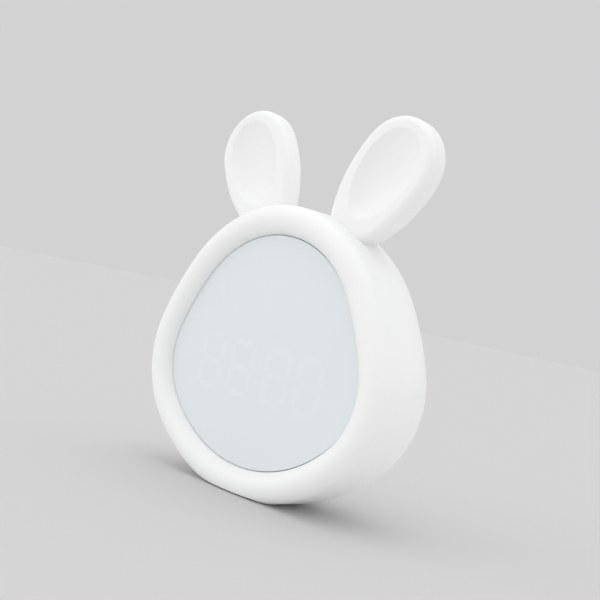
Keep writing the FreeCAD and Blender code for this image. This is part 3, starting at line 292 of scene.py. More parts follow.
def tangent_centre(first, second, big, small_first, small_second):
    """Centre of the big arc that two smaller arcs touch from inside, on its left-hand side.
    It is at big less small from either centre, so it is a corner of a triangle of known sides."""
    step = (second - first) / np.hypot(*(second - first))
    span, a, b = np.hypot(*(second - first)), big - small_first, big - small_second
    along = (span ** 2 + a ** 2 - b ** 2) / (2 * span)
    return first + step * along + np.array([step[1], -step[0]]) * np.sqrt(a ** 2 - along ** 2)


CORNER_ACROSS = BODY_WIDTH / 2 - CORNER_RADIUS
BASE_RADIUS = (CORNER_ACROSS ** 2 + CORNER_UP ** 2 - CORNER_RADIUS ** 2) / (2 * (CORNER_UP - CORNER_RADIUS))
CROWN = np.array([0, BODY_HEIGHT - CROWN_RADIUS])
CORNER = np.array([CORNER_ACROSS, CORNER_UP])
BASE = np.array([0, BASE_RADIUS])
SIDE = tangent_centre(CROWN, CORNER, SIDE_RADIUS, CROWN_RADIUS, CORNER_RADIUS)
CENTRES = np.array([CROWN, SIDE, CORNER, BASE])
RADII = np.array([CROWN_RADIUS, SIDE_RADIUS, CORNER_RADIUS, BASE_RADIUS])
JOINS = [np.arctan2(*(CROWN - SIDE)), np.arctan2(*(CORNER - SIDE)), np.arctan2(*(CORNER - BASE))]


def outline(normal, inset):
    """Centre of the arc plus its radius less the inset, along the normal; angles from straight up."""
    turn = np.abs((normal + np.pi) % (2 * np.pi) - np.pi)
    part = np.searchsorted(JOINS, turn)
    reach = RADII[part] - inset
    x = CENTRES[part, 0] + reach * np.sin(turn)
    z = CENTRES[part, 1] + reach * np.cos(turn) - FOOT_DROP
    return x * np.where(np.sin(normal) < 0, -1, 1), z


def even_normals(points_of, count):
    """Normal angles that put the points at even steps along an outline: its length is summed over
    very fine steps, and the angles are read off at equal shares of that length."""
    fine = np.linspace(-np.pi, np.pi, FINE_STEPS)
    x, z = points_of(fine)
    length = np.concatenate([[0], np.cumsum(np.hypot(np.diff(x), np.diff(z)))])
    return np.interp((np.arange(count) + 0.5) / count * length[-1], length, fine)


AROUND = even_normals(lambda normal: outline(normal, 0.0), OUTLINE_POINTS)


def swept(profile, lowest=PAD_PROUD):
    """Carry a profile of (inset, depth) points round the outline, and cut it flat at a height."""
    profile = np.asarray(profile, float)
    x, z = outline(AROUND[None, :], profile[:, :1])
    y = np.broadcast_to(profile[:, 1:], x.shape)
    return np.stack([x, y, np.maximum(z, lowest)], -1) * MM


print("outline of", len(AROUND), "points; its arcs join at", np.degrees(JOINS).round(1), "degrees")

# %% [markdown]
# ## Front housing
#
# The front half is one thin moulding. Its profile starts at the seam, runs forward along the side,
# over the half-round rim and into the window, then back behind the rim and along the inside of the
# wall. Carried round the outline it closes on itself. Lathes and lofts would need the outline cut
# into stations; a swept profile keeps every radius exact. A small round at the seam makes the fine
# groove that two mouldings leave where they meet.

# %% Front housing
BEAD_RADIUS, LENS_INSET, WALL, BACK_RADIUS = 5.5, 11.4, 2.2, 28.0
RING_BACK, LENS_BACK, SEAM = FRONT + 7.5, FRONT + 5.9, 16.0
LENS_FLANGE, MOUTH_STEP = 1.7, 0.1
LIP_INSET, SEAM_INSET, SEAM_ROUND, SEAM_TURN = 0.35, 0.12, 0.08, 0.6
BACK_CENTRE = (BACK_RADIUS, BODY_DEPTH / 2 - BACK_RADIUS)
FLOOR_UP = PAD_PROUD + 2.7


def seam_angle(radius):
    """Where the back's rounding of a radius reaches the seam, in degrees."""
    return 180 - np.degrees(np.arcsin((SEAM - BACK_CENTRE[1]) / radius))


def housing_profile():
    """Four runs of (inset, depth) points that close on themselves: the outside from the seam over the
    rim into the window, the rebate behind the window, the inside of the wall, and the seam's lip.
    Each rounding is an arc about its own centre, and straight lines join the arcs' ends."""
    inner_bead = LENS_INSET - BEAD_RADIUS - MOUTH_STEP
    outer_seam = along_arc(BACK_CENTRE, BACK_RADIUS, seam_angle(BACK_RADIUS) + SEAM_TURN, 180, 26)
    inner_seam = along_arc(BACK_CENTRE, BACK_RADIUS - WALL, 180, seam_angle(BACK_RADIUS - WALL), 16)
    bead = along_arc((BEAD_RADIUS, FRONT + BEAD_RADIUS), BEAD_RADIUS, 180, 270, 22)
    mouth = along_arc((LENS_INSET - inner_bead, FRONT + inner_bead), inner_bead, 270, 360, 22)
    outside = np.vstack([outer_seam, between((0, BACK_CENTRE[1]), bead[0], 5), bead, mouth])
    flange = LENS_INSET - LENS_FLANGE
    behind = [(LENS_INSET, LENS_BACK), (flange, LENS_BACK), (flange, RING_BACK), (WALL, RING_BACK)]
    inside = np.vstack([between((WALL, RING_BACK), inner_seam[0], 4), inner_seam])
    edge = outer_seam[0][0]
    lip = [(inner_seam[-1][0], SEAM), (edge + LIP_INSET, SEAM), (edge + SEAM_INSET, SEAM - SEAM_ROUND)]
    return outside, behind, inside, lip


def make_front_housing():
    """The profile swept round the outline as a ring; the wall's inside ends higher, over the foot."""
    outside, behind, inside, lip = housing_profile()
    rows = np.vstack([swept(outside), swept(behind), swept(inside, FLOOR_UP), swept(lip)])
    return make_piece(mesh_of("shell_front", grid(rows, ring=True)), "clock", ["front_housing"])


front_shell = make_front_housing()

# %% [markdown]
# ## Ears
#
# Each ear is a thick egg with a round front edge, a rounder back edge and a shallow dish. One grid
# covers it: the rows start in the middle of the dish, cross its soft edge, become the egg's outline
# and run over both roundings to the middle of the back. The dish is part of an ellipsoid that is
# drawn a little wider towards the ear's top. At its edge the depth is not cut off at nought but
# blended, half of d plus the root of d squared plus e squared, which is what a polished tool leaves.

# %% Outline of an ear
EAR_TOP, EAR_ROOT, EAR_REACH, EAR_SIDE = 16.9, 11.0, 25.1, 50.0
EAR_THICK, EAR_FRONT_ROUND, EAR_BACK_ROUND = 11.6, 2.8, 5.4
EAR_TURN, EAR_LEAN, EAR_SETBACK = 31.1, 2.3, 11.5
EAR_DISTANCE, EAR_DIRECTION = 28.95, 25.68
DISH_WIDTH, DISH_LENGTH, DISH_DOWN, DISH_DEPTH, DISH_BOWL, DISH_BLEND = 11.9, 18.4, 5.9, 4.6, 12.0, 0.2
DISH_TAPER, EAR_POINTS = 0.12, 240
EAR_SIDE_CENTRE = tangent_centre(np.zeros(2), np.array([0, -EAR_REACH]), EAR_SIDE, EAR_TOP, EAR_ROOT)
EAR_JOINS = [np.arctan2(*(-EAR_SIDE_CENTRE)), np.arctan2(*(np.array([0, -EAR_REACH]) - EAR_SIDE_CENTRE))]
EAR_CENTRES = np.array([[0, 0], EAR_SIDE_CENTRE, [0, -EAR_REACH]])
EAR_RADII = np.array([EAR_TOP, EAR_SIDE, EAR_ROOT])


def egg(normal, inset=0.0):
    """The ear's outline by the direction of its normal, moved inwards by an inset: the arc's centre
    plus its radius less the inset along the normal, as for the body."""
    turn = np.abs((normal + np.pi) % (2 * np.pi) - np.pi)
    part = np.searchsorted(EAR_JOINS, turn)
    reach = EAR_RADII[part] - inset
    x = EAR_CENTRES[part, 0] + reach * np.sin(turn)
    return x * np.where(np.sin(normal) < 0, -1, 1), EAR_CENTRES[part, 1] + reach * np.cos(turn)


EAR_AROUND = even_normals(egg, EAR_POINTS)
print("an ear is", round(EAR_TOP + EAR_REACH + EAR_ROOT, 1), "mm long")

# %% Ear surface
FACE_STEPS, EAR_BACK_INSETS = 7, (8, 10.8)
DISH_SHARES = np.concatenate([np.linspace(0.06, 0.9, 12), np.linspace(0.92, 1.12, 14)])[:, None]


def dish_depth(part):
    """Depth below the face at a share of the dish's half axes: the bowl times the root of one less
    slope times the share squared, less the part of the bowl above the face; then blended."""
    slope = 1 - ((DISH_BOWL - DISH_DEPTH) / DISH_BOWL) ** 2
    depth = DISH_BOWL * np.sqrt(1 - slope * part ** 2) - (DISH_BOWL - DISH_DEPTH)
    return (depth + np.sqrt(depth ** 2 + DISH_BLEND ** 2)) / 2


def ear_rows():
    """Rows of (across, depth, along) from the middle of the dish round to the middle of the back.
    A dish row is the dish's ellipse times its share, with the width drawn out along the ear; face
    rows are mixed from the last dish row and the first outline row."""
    face_x, face_z = egg(EAR_AROUND, EAR_FRONT_ROUND)
    heading = np.arctan2(face_z + DISH_DOWN, face_x)
    turn = np.arctan2(DISH_WIDTH * np.sin(heading), DISH_LENGTH * np.cos(heading))
    along = DISH_SHARES * np.sin(turn)
    across = DISH_SHARES * DISH_WIDTH * np.cos(turn) * (1 + DISH_TAPER * along)
    depth = dish_depth(DISH_SHARES)
    dish = np.stack(np.broadcast_arrays(across, depth, DISH_LENGTH * along - DISH_DOWN), -1)
    mix = np.linspace(0, 1, FACE_STEPS + 1)[1:-1, None]
    face = np.stack(np.broadcast_arrays(dish[-1, :, 0] * (1 - mix) + face_x * mix,
                                        depth[-1] * (1 - mix) ** 2,
                                        dish[-1, :, 2] * (1 - mix) + face_z * mix), -1)
    front = along_arc((EAR_FRONT_ROUND, EAR_FRONT_ROUND), EAR_FRONT_ROUND, 270, 180, 14)
    back_start = EAR_THICK - EAR_BACK_ROUND
    back = along_arc((EAR_BACK_ROUND, back_start), EAR_BACK_ROUND, 180, 90, 18)
    closing = [(inset, EAR_THICK) for inset in EAR_BACK_INSETS]
    side = np.vstack([front, between(front[-1], back[0], 3), back, closing])
    x, z = egg(EAR_AROUND[None, :], side[:, :1])
    rest = np.stack(np.broadcast_arrays(x, side[:, 1:], z), -1)
    return np.vstack([dish, face, rest])


def ear_frame(side):
    """The ear's own axes in the clock's frame: turned outwards, leaning back, standing on the crown."""
    away = np.radians(EAR_DIRECTION)
    reach = CROWN_RADIUS + EAR_DISTANCE
    up = CROWN[1] - FOOT_DROP + reach * np.cos(away)
    spot = Vector((side * reach * np.sin(away), FRONT + EAR_SETBACK, up))
    turn = Matrix.Rotation(np.radians(side * EAR_TURN), 4, "Y")
    return Matrix.Translation(spot) @ Matrix.Rotation(-np.radians(EAR_LEAN), 4, "X") @ turn


def make_ear(name, side):
    """The rows and both poles, the dish's middle and the back's middle, are turned and moved alike."""
    place = np.array(ear_frame(side))
    middle = np.array([[0, DISH_DEPTH, -DISH_DOWN], [0, EAR_THICK, -EAR_REACH / 2]])
    rows, poles = (points @ place[:3, :3].T + place[:3, 3] for points in (ear_rows(), middle))
    mesh = mesh_of(f"shell_{name}", grid(rows * MM, first_pole=poles[0] * MM, last_pole=poles[1] * MM))
    return make_piece(mesh, "clock", [name])


ears = [make_ear("ear_right", 1), make_ear("ear_left", -1)]

# %% [markdown]
# ## Display window
#
# The window is a plate of milky plastic that lies a little deeper than the rim, with a hairline gap
# round it and a soft edge. It has the body's outline, so the same sweep makes it: rows close in
# towards the middle and end in a pole on each side.

# %% Display window
LENS_FRONT, LENS_GAP, LENS_SOFT, FLANGE_GAP = FRONT + 4.3, 0.12, 0.2, 0.2
LENS_FRONT_INSETS, LENS_BACK_INSETS = (37, 32, 26, 20, 15), (20, 37)


def make_window():
    """The body's outline at growing insets: flat front, quarter-round edge, side, flange, flat back."""
    edge, flange = LENS_INSET + LENS_GAP, LENS_INSET - LENS_FLANGE + FLANGE_GAP
    front = [(inset, LENS_FRONT) for inset in LENS_FRONT_INSETS]
    soft = along_arc((edge + LENS_SOFT, LENS_FRONT + LENS_SOFT), LENS_SOFT, 270, 180, 7)
    behind = [(edge, LENS_BACK), (flange, LENS_BACK), (flange, RING_BACK)]
    behind += [(inset, RING_BACK) for inset in LENS_BACK_INSETS]
    poles = [np.array([0, depth, CORNER_UP]) * MM for depth in (LENS_FRONT, RING_BACK)]
    rows = swept(np.vstack([front, soft, behind]))
    mesh = mesh_of("window", grid(rows, first_pole=poles[0], last_pole=poles[1]))
    return make_piece(mesh, "clock", ["display_lens"])


window = make_window()

# %% [markdown]
# ## Buttons and foot pad
#
# A button is a turned part: its profile goes from the bottom of the shallow hollow for the finger,
# over the edge, down the side, under the brim and along the plunger. The foot pad is a rounded slab
# with soft edges that the same kind of grid covers.

# %% Buttons
PANEL_INNER, BUTTON_TOP, BUTTON_UP, STEM_TOP = 18.8, 22.5, 66.5, 16.1
BUTTON_RADIUS, BUTTON_SOFT, BRIM_RADIUS, PLUNGER_RADIUS = 4.0, 0.35, 5.2, 2.0
BRIM_FRONT, BRIM_BACK = PANEL_INNER - 0.1, PANEL_INNER - 1.2
HOLLOW_RADIUS, HOLLOW, HOLLOW_START, HOLLOW_EDGE, HOLLOW_LAND = 3.2, 0.5, 0.3, 0.12, 0.05
BUTTONS = {"time": -24, "alarm": -12, "down": 0, "up": 12, "light": 24}
CAP_SHARP = 0.9


def even_turn(steps):
    """Angles at even steps once round."""
    return np.arange(steps) / steps * 2 * np.pi


def turned(radius, depth, across, up, steps=64):
    """Rows about an axis from front to back: across plus r cos t, the depth, and up plus r sin t.
    Radius and depth have a row for each profile point, with one value or one for each step."""
    turn = even_turn(steps)
    x, z = across + radius * np.cos(turn), up + radius * np.sin(turn)
    return np.stack(np.broadcast_arrays(x, depth, z), -1) * MM


def button_profile():
    """Points of (radius, depth): the hollow is half an ellipse, HOLLOW deep times the root of one
    less the squared share of its radius; a quarter round, the side, the brim and the plunger follow."""
    radius = np.linspace(HOLLOW_START, HOLLOW_RADIUS - HOLLOW_EDGE, 9)
    hollow = np.stack([radius, BUTTON_TOP - HOLLOW * np.sqrt(1 - (radius / HOLLOW_RADIUS) ** 2)], -1)
    soft = along_arc((BUTTON_RADIUS - BUTTON_SOFT, BUTTON_TOP - BUTTON_SOFT), BUTTON_SOFT, 90, 0, 7)
    brim = [(BUTTON_RADIUS, BRIM_FRONT), (BRIM_RADIUS, BRIM_FRONT), (BRIM_RADIUS, BRIM_BACK),
            (PLUNGER_RADIUS, BRIM_BACK), (PLUNGER_RADIUS, STEM_TOP)]
    return np.vstack([hollow, [(HOLLOW_RADIUS + HOLLOW_LAND, BUTTON_TOP)], soft, brim])


def make_button(name, across):
    """The profile turned about the button's axis, with a pole in the hollow and one on the plunger."""
    profile = button_profile()
    rows = turned(profile[:, :1], profile[:, 1:], across, BUTTON_UP)
    poles = [np.array([across, depth, BUTTON_UP]) * MM for depth in (BUTTON_TOP - HOLLOW, STEM_TOP)]
    mesh = mesh_of(f"cap_{name}", grid(rows, first_pole=poles[0], last_pole=poles[1]))
    return make_piece(mesh, f"{name}_button_body", [f"{name}_button"], sharp=CAP_SHARP)


caps = [make_button(name, across) for name, across in BUTTONS.items()]

# %% Foot pad
PAD_LENGTH, PAD_WIDTH, PAD_THICK, PAD_MIDDLE, PAD_CORNER, PAD_SOFT = 27.0, 22.0, 1.5, -6.0, 5.0, 0.3
PAD_UNDER_INSETS, PAD_UPPER_INSETS, PAD_LEAST_CORNER = (9, 5, 1.5), (0, 5, 9), 0.2


def rounded_rectangle(length, width, corner, steps=24):
    """Four quarter circles at the corners, joined by the straight sides; the middle is at nought."""
    turn = np.linspace(0, np.pi / 2, steps)
    corners = enumerate(((1, 1), (-1, 1), (-1, -1), (1, -1)))
    parts = [(turn + quarter * np.pi / 2, *signs) for quarter, signs in corners]
    a = np.concatenate([sign * (length / 2 - corner) + corner * np.cos(t) for t, sign, _ in parts])
    b = np.concatenate([sign * (width / 2 - corner) + corner * np.sin(t) for t, _, sign in parts])
    return a, b


def make_foot_pad():
    """Rounded rectangles that grow over the soft lower edge and close again on the upper side."""
    soft = along_arc((PAD_SOFT, PAD_SOFT), PAD_SOFT, 270, 180, 6)
    under = [(inset, 0) for inset in PAD_UNDER_INSETS]
    upper = [(inset, PAD_THICK) for inset in PAD_UPPER_INSETS]
    rows = []
    for inset, up in np.vstack([under, soft, upper]):
        corner = max(PAD_CORNER - inset, PAD_LEAST_CORNER)
        x, y = rounded_rectangle(PAD_LENGTH - 2 * inset, PAD_WIDTH - 2 * inset, corner)
        rows.append(np.stack([x, y + PAD_MIDDLE, np.full_like(x, up)], -1))
    poles = [np.array([0, PAD_MIDDLE, up]) * MM for up in (0, PAD_THICK)]
    mesh = mesh_of("pad", grid(np.stack(rows) * MM, first_pole=poles[0], last_pole=poles[1]))
    return make_piece(mesh, "clock", ["foot_pad"])


foot = make_foot_pad()

# %% [markdown]
# ## Alarm knob and case screws
#
# The sliding knob is a small block on a broad plate that keeps dust out of the slot. Its top has
# grooves for the fingertip, and they are real: the rings that close its top dip with the distance
# along the clock's width. The case screws sit in deep wells, so only their heads show. A cross
# recess is a star-shaped outline, the nearer of the arm's end and the arm's side, and rings of that
# shape lead down into it. The thread is a helix: its radius swells with the turn less the height.

# %% Alarm knob
KNOB_ACROSS, KNOB_UP, KNOB_LENGTH, KNOB_WIDTH, KNOB_CORNER = -17.5, 53.5, 4.0, 2.6, 0.35
KNOB_TOP, KNOB_SOFT, GROOVE_PITCH, GROOVE_DEEP, GROOVE_RIM = 22.5, 0.25, 0.8, 0.32, 0.9
PLATE_LENGTH, PLATE_WIDTH, PLATE_BACK, PLATE_FRONT = 11.6, 5.0, 18.3, 17.3
KNOB_FOOT_LENGTH, KNOB_FOOT_WIDTH, KNOB_FOOT_END, KNOB_FOOT_CORNER = 2.4, 1.4, 14.2, 0.2
KNOB_LEAST_CORNER, KNOB_TOP_SHARES = 0.05, np.linspace(0.05, 1, 18)


def ring(length, width, corner, depth):
    """One row of a knob: a rounded rectangle at a depth."""
    x, z = rounded_rectangle(length, width, corner)
    return np.stack([x, np.full_like(x, depth), z], -1)


def make_knob():
    """The top's rings lie lower by a raised cosine of the distance along the knob, once per groove,
    and the grooves fade out between GROOVE_RIM and the edge. Rounding, side, plate and foot follow."""
    rows = []
    for share in KNOB_TOP_SHARES:
        flat = ring((KNOB_LENGTH - 2 * KNOB_SOFT) * share, (KNOB_WIDTH - 2 * KNOB_SOFT) * share,
                    max(KNOB_CORNER - KNOB_SOFT, KNOB_LEAST_CORNER) * share, KNOB_TOP)
        groove = 0.5 - 0.5 * np.cos(2 * np.pi * (flat[:, 0] / GROOVE_PITCH + 0.5))
        fade = np.clip((1 - share) / (1 - GROOVE_RIM), 0, 1)
        flat[:, 1] -= GROOVE_DEEP * groove * fade
        rows.append(flat)
    for inset, depth in along_arc((KNOB_SOFT, KNOB_TOP - KNOB_SOFT), KNOB_SOFT, 90, 180, 6)[1:]:
        corner = max(KNOB_CORNER - inset, KNOB_LEAST_CORNER)
        rows.append(ring(KNOB_LENGTH - 2 * inset, KNOB_WIDTH - 2 * inset, corner, depth))
    plate = (PLATE_LENGTH, PLATE_WIDTH, KNOB_CORNER)
    stem = (KNOB_FOOT_LENGTH, KNOB_FOOT_WIDTH, KNOB_FOOT_CORNER)
    rows += [ring(KNOB_LENGTH, KNOB_WIDTH, KNOB_CORNER, PLATE_BACK), ring(*plate, PLATE_BACK),
             ring(*plate, PLATE_FRONT), ring(*stem, PLATE_FRONT), ring(*stem, KNOB_FOOT_END)]
    middle = np.array([KNOB_ACROSS, 0, KNOB_UP])
    poles = [(middle + (0, depth, 0)) * MM for depth in (KNOB_TOP - GROOVE_DEEP, KNOB_FOOT_END)]
    rows = (np.stack(rows) + middle) * MM
    mesh = mesh_of("knob", grid(rows, first_pole=poles[0], last_pole=poles[1]))
    return make_piece(mesh, "alarm_knob_body", ["alarm_knob"])


knob = make_knob()

# %% Case screws
CASE_SCREWS = [(42.0, 32.96), (-42.0, 32.96), (30.0, 80.0), (-30.0, 80.0)]
HEAD_TOP, HEAD_SEAT, HEAD_RADIUS, HEAD_DOME, SHANK_RADIUS, SHANK_END = 19.0, 17.0, 2.6, 0.5, 1.3, 4.5
HEAD_RINGS, HEAD_LAND = (0.0, 0.06, 0.3, 0.65, 1.0), 0.3
HEAD_EDGE = [(0.08, 0.12), (0.0, 0.35)]
ARM_LENGTH, ARM_HALF, CROSS_DEEP = 1.55, 0.42, 1.3
CROSS_RINGS = [(0.45, 1.0), (0.72, 0.8)]
THREAD_PITCH, THREAD_DEEP, THREAD_FROM, THREAD_TO, THREAD_ROWS = 1.0, 0.2, 1.0, 1.2, 54
TIP_RADIUS, TIP_ROUND, SCREW_STEPS, SCREW_SHARP = 0.35, 0.1, 96, 0.5


def screw_rows(steps):
    """Radii and depths of a screw's rings: cross recess, domed head, seat, threaded shank, tip.
    The head's dome falls with the square of the radius, and the thread swells with the cosine of
    the turn less the height's turns."""
    turn = even_turn(steps)
    folded = np.abs((turn + np.pi / 4) % (np.pi / 2) - np.pi / 4)
    cross = np.minimum(ARM_LENGTH / np.cos(folded), ARM_HALF / np.maximum(np.sin(folded), 1e-6))
    rows = [(cross * size, HEAD_TOP - CROSS_DEEP * deep) for size, deep in CROSS_RINGS]
    for mix in HEAD_RINGS:
        radius = cross * (1 - mix) + (HEAD_RADIUS - HEAD_LAND) * mix
        rows.append((radius, HEAD_TOP - HEAD_DOME * (radius / HEAD_RADIUS) ** 2))
    rows += [(HEAD_RADIUS - inset, HEAD_TOP - HEAD_DOME - down) for inset, down in HEAD_EDGE]
    rows += [(HEAD_RADIUS, HEAD_SEAT), (SHANK_RADIUS, HEAD_SEAT)]
    for depth in np.linspace(HEAD_SEAT - THREAD_FROM, SHANK_END + THREAD_TO, THREAD_ROWS):
        swell = 0.5 + 0.5 * np.cos(turn - 2 * np.pi * depth / THREAD_PITCH)
        rows.append((SHANK_RADIUS - THREAD_DEEP * (1 - swell), depth))
    rows.append((TIP_RADIUS, SHANK_END + TIP_ROUND))
    return [np.stack([np.broadcast_to(row[part], steps) for row in rows]) for part in (0, 1)]


def make_case_screws():
    """One mesh of four grids: the same rings about each screw's axis, with a pole at each end."""
    radius, depth = screw_rows(SCREW_STEPS)
    screws = []
    for across, up in CASE_SCREWS:
        poles = [np.array([across, end, up]) * MM for end in (HEAD_TOP - CROSS_DEEP, SHANK_END)]
        rows = turned(radius, depth, across, up, SCREW_STEPS)
        screws.append(grid(rows, first_pole=poles[0], last_pole=poles[1]))
    return make_piece(mesh_of("screws", *screws), "clock", ["case_screws"], sharp=SCREW_SHARP)


case_screws = make_case_screws()

# %% [markdown]
# ## Shared shader effects
#
# A flat colour never looks like a moulded part. What the eye reads is a very fine grain in the
# shine, a faint unevenness of the colour and, on a white part, a slightly warmer or cooler tone from
# place to place. These effects are node groups with named sockets, so that each material takes them
# with its own values. They read Object coordinates, which are real metres on every piece.

# %% Node helpers


def new_group(name, inputs, outputs):
    """A shader node group with number sockets and defaults, and the ends to wire to."""
    tree = bpy.data.node_groups.new(name, "ShaderNodeTree")
    for socket, value in inputs.items():
        item = tree.interface.new_socket(socket, in_out="INPUT", socket_type="NodeSocketFloat")
        item.default_value = value
    for socket, kind in outputs.items():
        tree.interface.new_socket(socket, in_out="OUTPUT", socket_type="NodeSocket" + kind)
    return tree, tree.nodes.new("NodeGroupInput"), tree.nodes.new("NodeGroupOutput")


def feed(tree, socket, value):
    """Wire a socket to another one, or give it a value."""
    if isinstance(value, bpy.types.NodeSocket):
        tree.links.new(value, socket)
    else:
        socket.default_value = value


def add(tree, kind, settings=None, **inputs):
    """A node of a kind; inputs are values or sockets, by name or as _0, _1 for sockets by number."""
    node = tree.nodes.new("ShaderNode" + kind)
    for key, value in (settings or {}).items():
        setattr(node, key, value)
    for key, value in inputs.items():
        feed(tree, node.inputs[int(key[1:]) if key[0] == "_" else key.replace("_", " ")], value)
    return node


def maths(tree, operation, *values):
    """One Math node; returns its output."""
    node = add(tree, "Math", {"operation": operation}, **{f"_{n}": v for n, v in enumerate(values)})
    return node.outputs[0]


def blended(tree, factor, first, second):
    """A colour between two colours: the first times one less the factor plus the second times it."""
    return add(tree, "Mix", {"data_type": "RGBA"}, _0=factor, _6=first, _7=second).outputs[2]


def object_place(tree):
    """The place on the piece, in metres: its Object coordinates."""
    return tree.nodes.new("ShaderNodeTexCoord").outputs["Object"]


HELPERS = (new_group, feed, add, maths, blended, object_place)
print("node helpers:", [helper.__name__ for helper in HELPERS])

# %% Moulded grain
FINE_GRAIN, CLOUD, SHINE_FINER = 2600.0, 45.0, 6.0


def make_grain():
    """Fine grain as a height, and two clouds from 0 to 1: a broad one as a tone, and one that is
    six times finer as the shine."""
    tree, start, end = new_group("moulded_grain", {"Grain": FINE_GRAIN, "Cloud": CLOUD},
                                 {"Height": "Float", "Tone": "Float", "Shine": "Float"})
    place = object_place(tree)
    fine = add(tree, "TexNoise", Vector=place, Scale=start.outputs["Grain"], Detail=3.0, Roughness=0.6)
    cloud = add(tree, "TexNoise", Vector=place, Scale=start.outputs["Cloud"], Detail=2.0, Roughness=0.5)
    finer = maths(tree, "MULTIPLY", start.outputs["Cloud"], SHINE_FINER)
    shine = add(tree, "TexNoise", Vector=place, Scale=finer, Detail=4.0)
    for source, target in ((fine, "Height"), (cloud, "Tone"), (shine, "Shine")):
        tree.links.new(source.outputs["Fac"], end.inputs[target])
    return tree


GRAIN = make_grain()
print("grain of about", round(1 / (FINE_GRAIN * MM), 2), "mm and clouds of", round(1 / (CLOUD * MM)), "mm")

# %% Metal and board patterns
DRAWN_LINES, DRAWN_STRETCH, DULL = 4000.0, 0.03, 300.0
TRACE_PITCH, PAD_SPREAD, TRACE_EDGE, PAD_SIZE = 420.0, 0.8, 0.07, 0.16


def make_brushed():
    """Fine lines across a metal part: noise that is stretched along one axis."""
    tree, start, end = new_group("drawn_metal", {"Lines": DRAWN_LINES, "Stretch": DRAWN_STRETCH},
                                 {"Height": "Float", "Tone": "Float"})
    place = object_place(tree)
    scale = add(tree, "CombineXYZ", X=start.outputs["Stretch"], Y=1.0, Z=1.0).outputs[0]
    drawn = add(tree, "VectorMath", {"operation": "MULTIPLY"}, _0=place, _1=scale).outputs[0]
    lines = add(tree, "TexNoise", Vector=drawn, Scale=start.outputs["Lines"], Detail=2.0)
    dull = add(tree, "TexNoise", Vector=place, Scale=DULL, Detail=3.0)
    tree.links.new(lines.outputs["Fac"], end.inputs["Height"])
    tree.links.new(dull.outputs["Fac"], end.inputs["Tone"])
    return tree


def make_traces():
    """Copper lines under a board's varnish: thin walls between cells, and round pads."""
    tree, start, end = new_group("board_traces", {"Pitch": TRACE_PITCH},
                                 {"Traces": "Float", "Pads": "Float"})
    place, pitch = object_place(tree), start.outputs["Pitch"]
    cells = add(tree, "TexVoronoi", {"feature": "DISTANCE_TO_EDGE", "distance": "EUCLIDEAN"},
                Vector=place, Scale=pitch, Randomness=0.75)
    pads = add(tree, "TexVoronoi", {"feature": "F1"}, Vector=place,
               Scale=maths(tree, "MULTIPLY", pitch, PAD_SPREAD), Randomness=0.9)
    tree.links.new(maths(tree, "LESS_THAN", cells.outputs["Distance"], TRACE_EDGE), end.inputs["Traces"])
    tree.links.new(maths(tree, "LESS_THAN", pads.outputs["Distance"], PAD_SIZE), end.inputs["Pads"])
    return tree


DRAWN, TRACES = make_brushed(), make_traces()
print("shared effects:", [group.name for group in bpy.data.node_groups])

# %% [markdown]
# ## Digits behind the window
#
# Unlit, the four digits and the two dots show only as a paler tone through the milky plate. The
# pattern is the same on the left and the right, and each digit is the same above and below its
# middle, so the shader folds the place twice and tests three bars: the middle one, the top one and
# the upright one. That costs a handful of nodes instead of thirty cut-outs.

# %% Digits
DIGIT_HEIGHT, DIGIT_WIDTH, DIGIT_STROKE, DIGIT_UP = 21.3, 12.95, 2.15, 44.6
DIGIT_INNER, DIGIT_OUTER, DIGIT_BLUR, DIGIT_GAP = 9.4, 25.65, 0.45, 0.45
DOT_UP, DOT_HALF, MILLIMETRES = 3.7, 0.85, 1000.0


def bar(tree, u, w, middle, half):
    """1 inside a bar and 0 outside, with a soft edge: the larger overshoot of the two directions."""
    over = [maths(tree, "SUBTRACT", maths(tree, "ABSOLUTE", maths(tree, "SUBTRACT", value, centre)), reach)
            for value, centre, reach in zip((u, w), middle, half)]
    far = maths(tree, "MAXIMUM", *over)
    soft = add(tree, "MapRange", {"interpolation_type": "SMOOTHSTEP"}, Value=far, From_Min=DIGIT_BLUR,
               From_Max=-DIGIT_BLUR, To_Min=0.0, To_Max=1.0)
    return soft.outputs[0]


def make_digits():
    """A mask of four folded digits and two dots, from Object coordinates: the folded place is the
    distance from the digit's middle, and the mask is the largest of its bars."""
    tree, start, end = new_group("ghost_digits", {"Millimetres": MILLIMETRES}, {"Mask": "Float"})
    axes, scale = add(tree, "SeparateXYZ", Vector=object_place(tree)), start.outputs["Millimetres"]
    across = maths(tree, "ABSOLUTE", maths(tree, "MULTIPLY", axes.outputs["X"], scale))
    up = maths(tree, "SUBTRACT", maths(tree, "MULTIPLY", axes.outputs["Z"], scale), DIGIT_UP)
    w = maths(tree, "ABSOLUTE", up)
    u = maths(tree, "MINIMUM", maths(tree, "ABSOLUTE", maths(tree, "SUBTRACT", across, DIGIT_INNER)),
              maths(tree, "ABSOLUTE", maths(tree, "SUBTRACT", across, DIGIT_OUTER)))
    thin, high, wide = DIGIT_STROKE / 2, DIGIT_HEIGHT / 2, DIGIT_WIDTH / 2
    long_bar, tall_bar = wide - DIGIT_STROKE, (high - DIGIT_STROKE * 1.5 - DIGIT_GAP) / 2
    bars = [bar(tree, u, w, (0, 0), (long_bar, thin)), bar(tree, u, w, (0, high - thin), (long_bar, thin)),
            bar(tree, u, w, (wide - thin, (high - thin) / 2), (thin, tall_bar)),
            bar(tree, across, w, (0, DOT_UP), (DOT_HALF, DOT_HALF))]
    mask = bars[0]
    for other in bars[1:]:
        mask = maths(tree, "MAXIMUM", mask, other)
    tree.links.new(mask, end.inputs["Mask"])
    return tree


DIGITS = make_digits()
print("the digits' pattern has", len(DIGITS.nodes), "nodes")

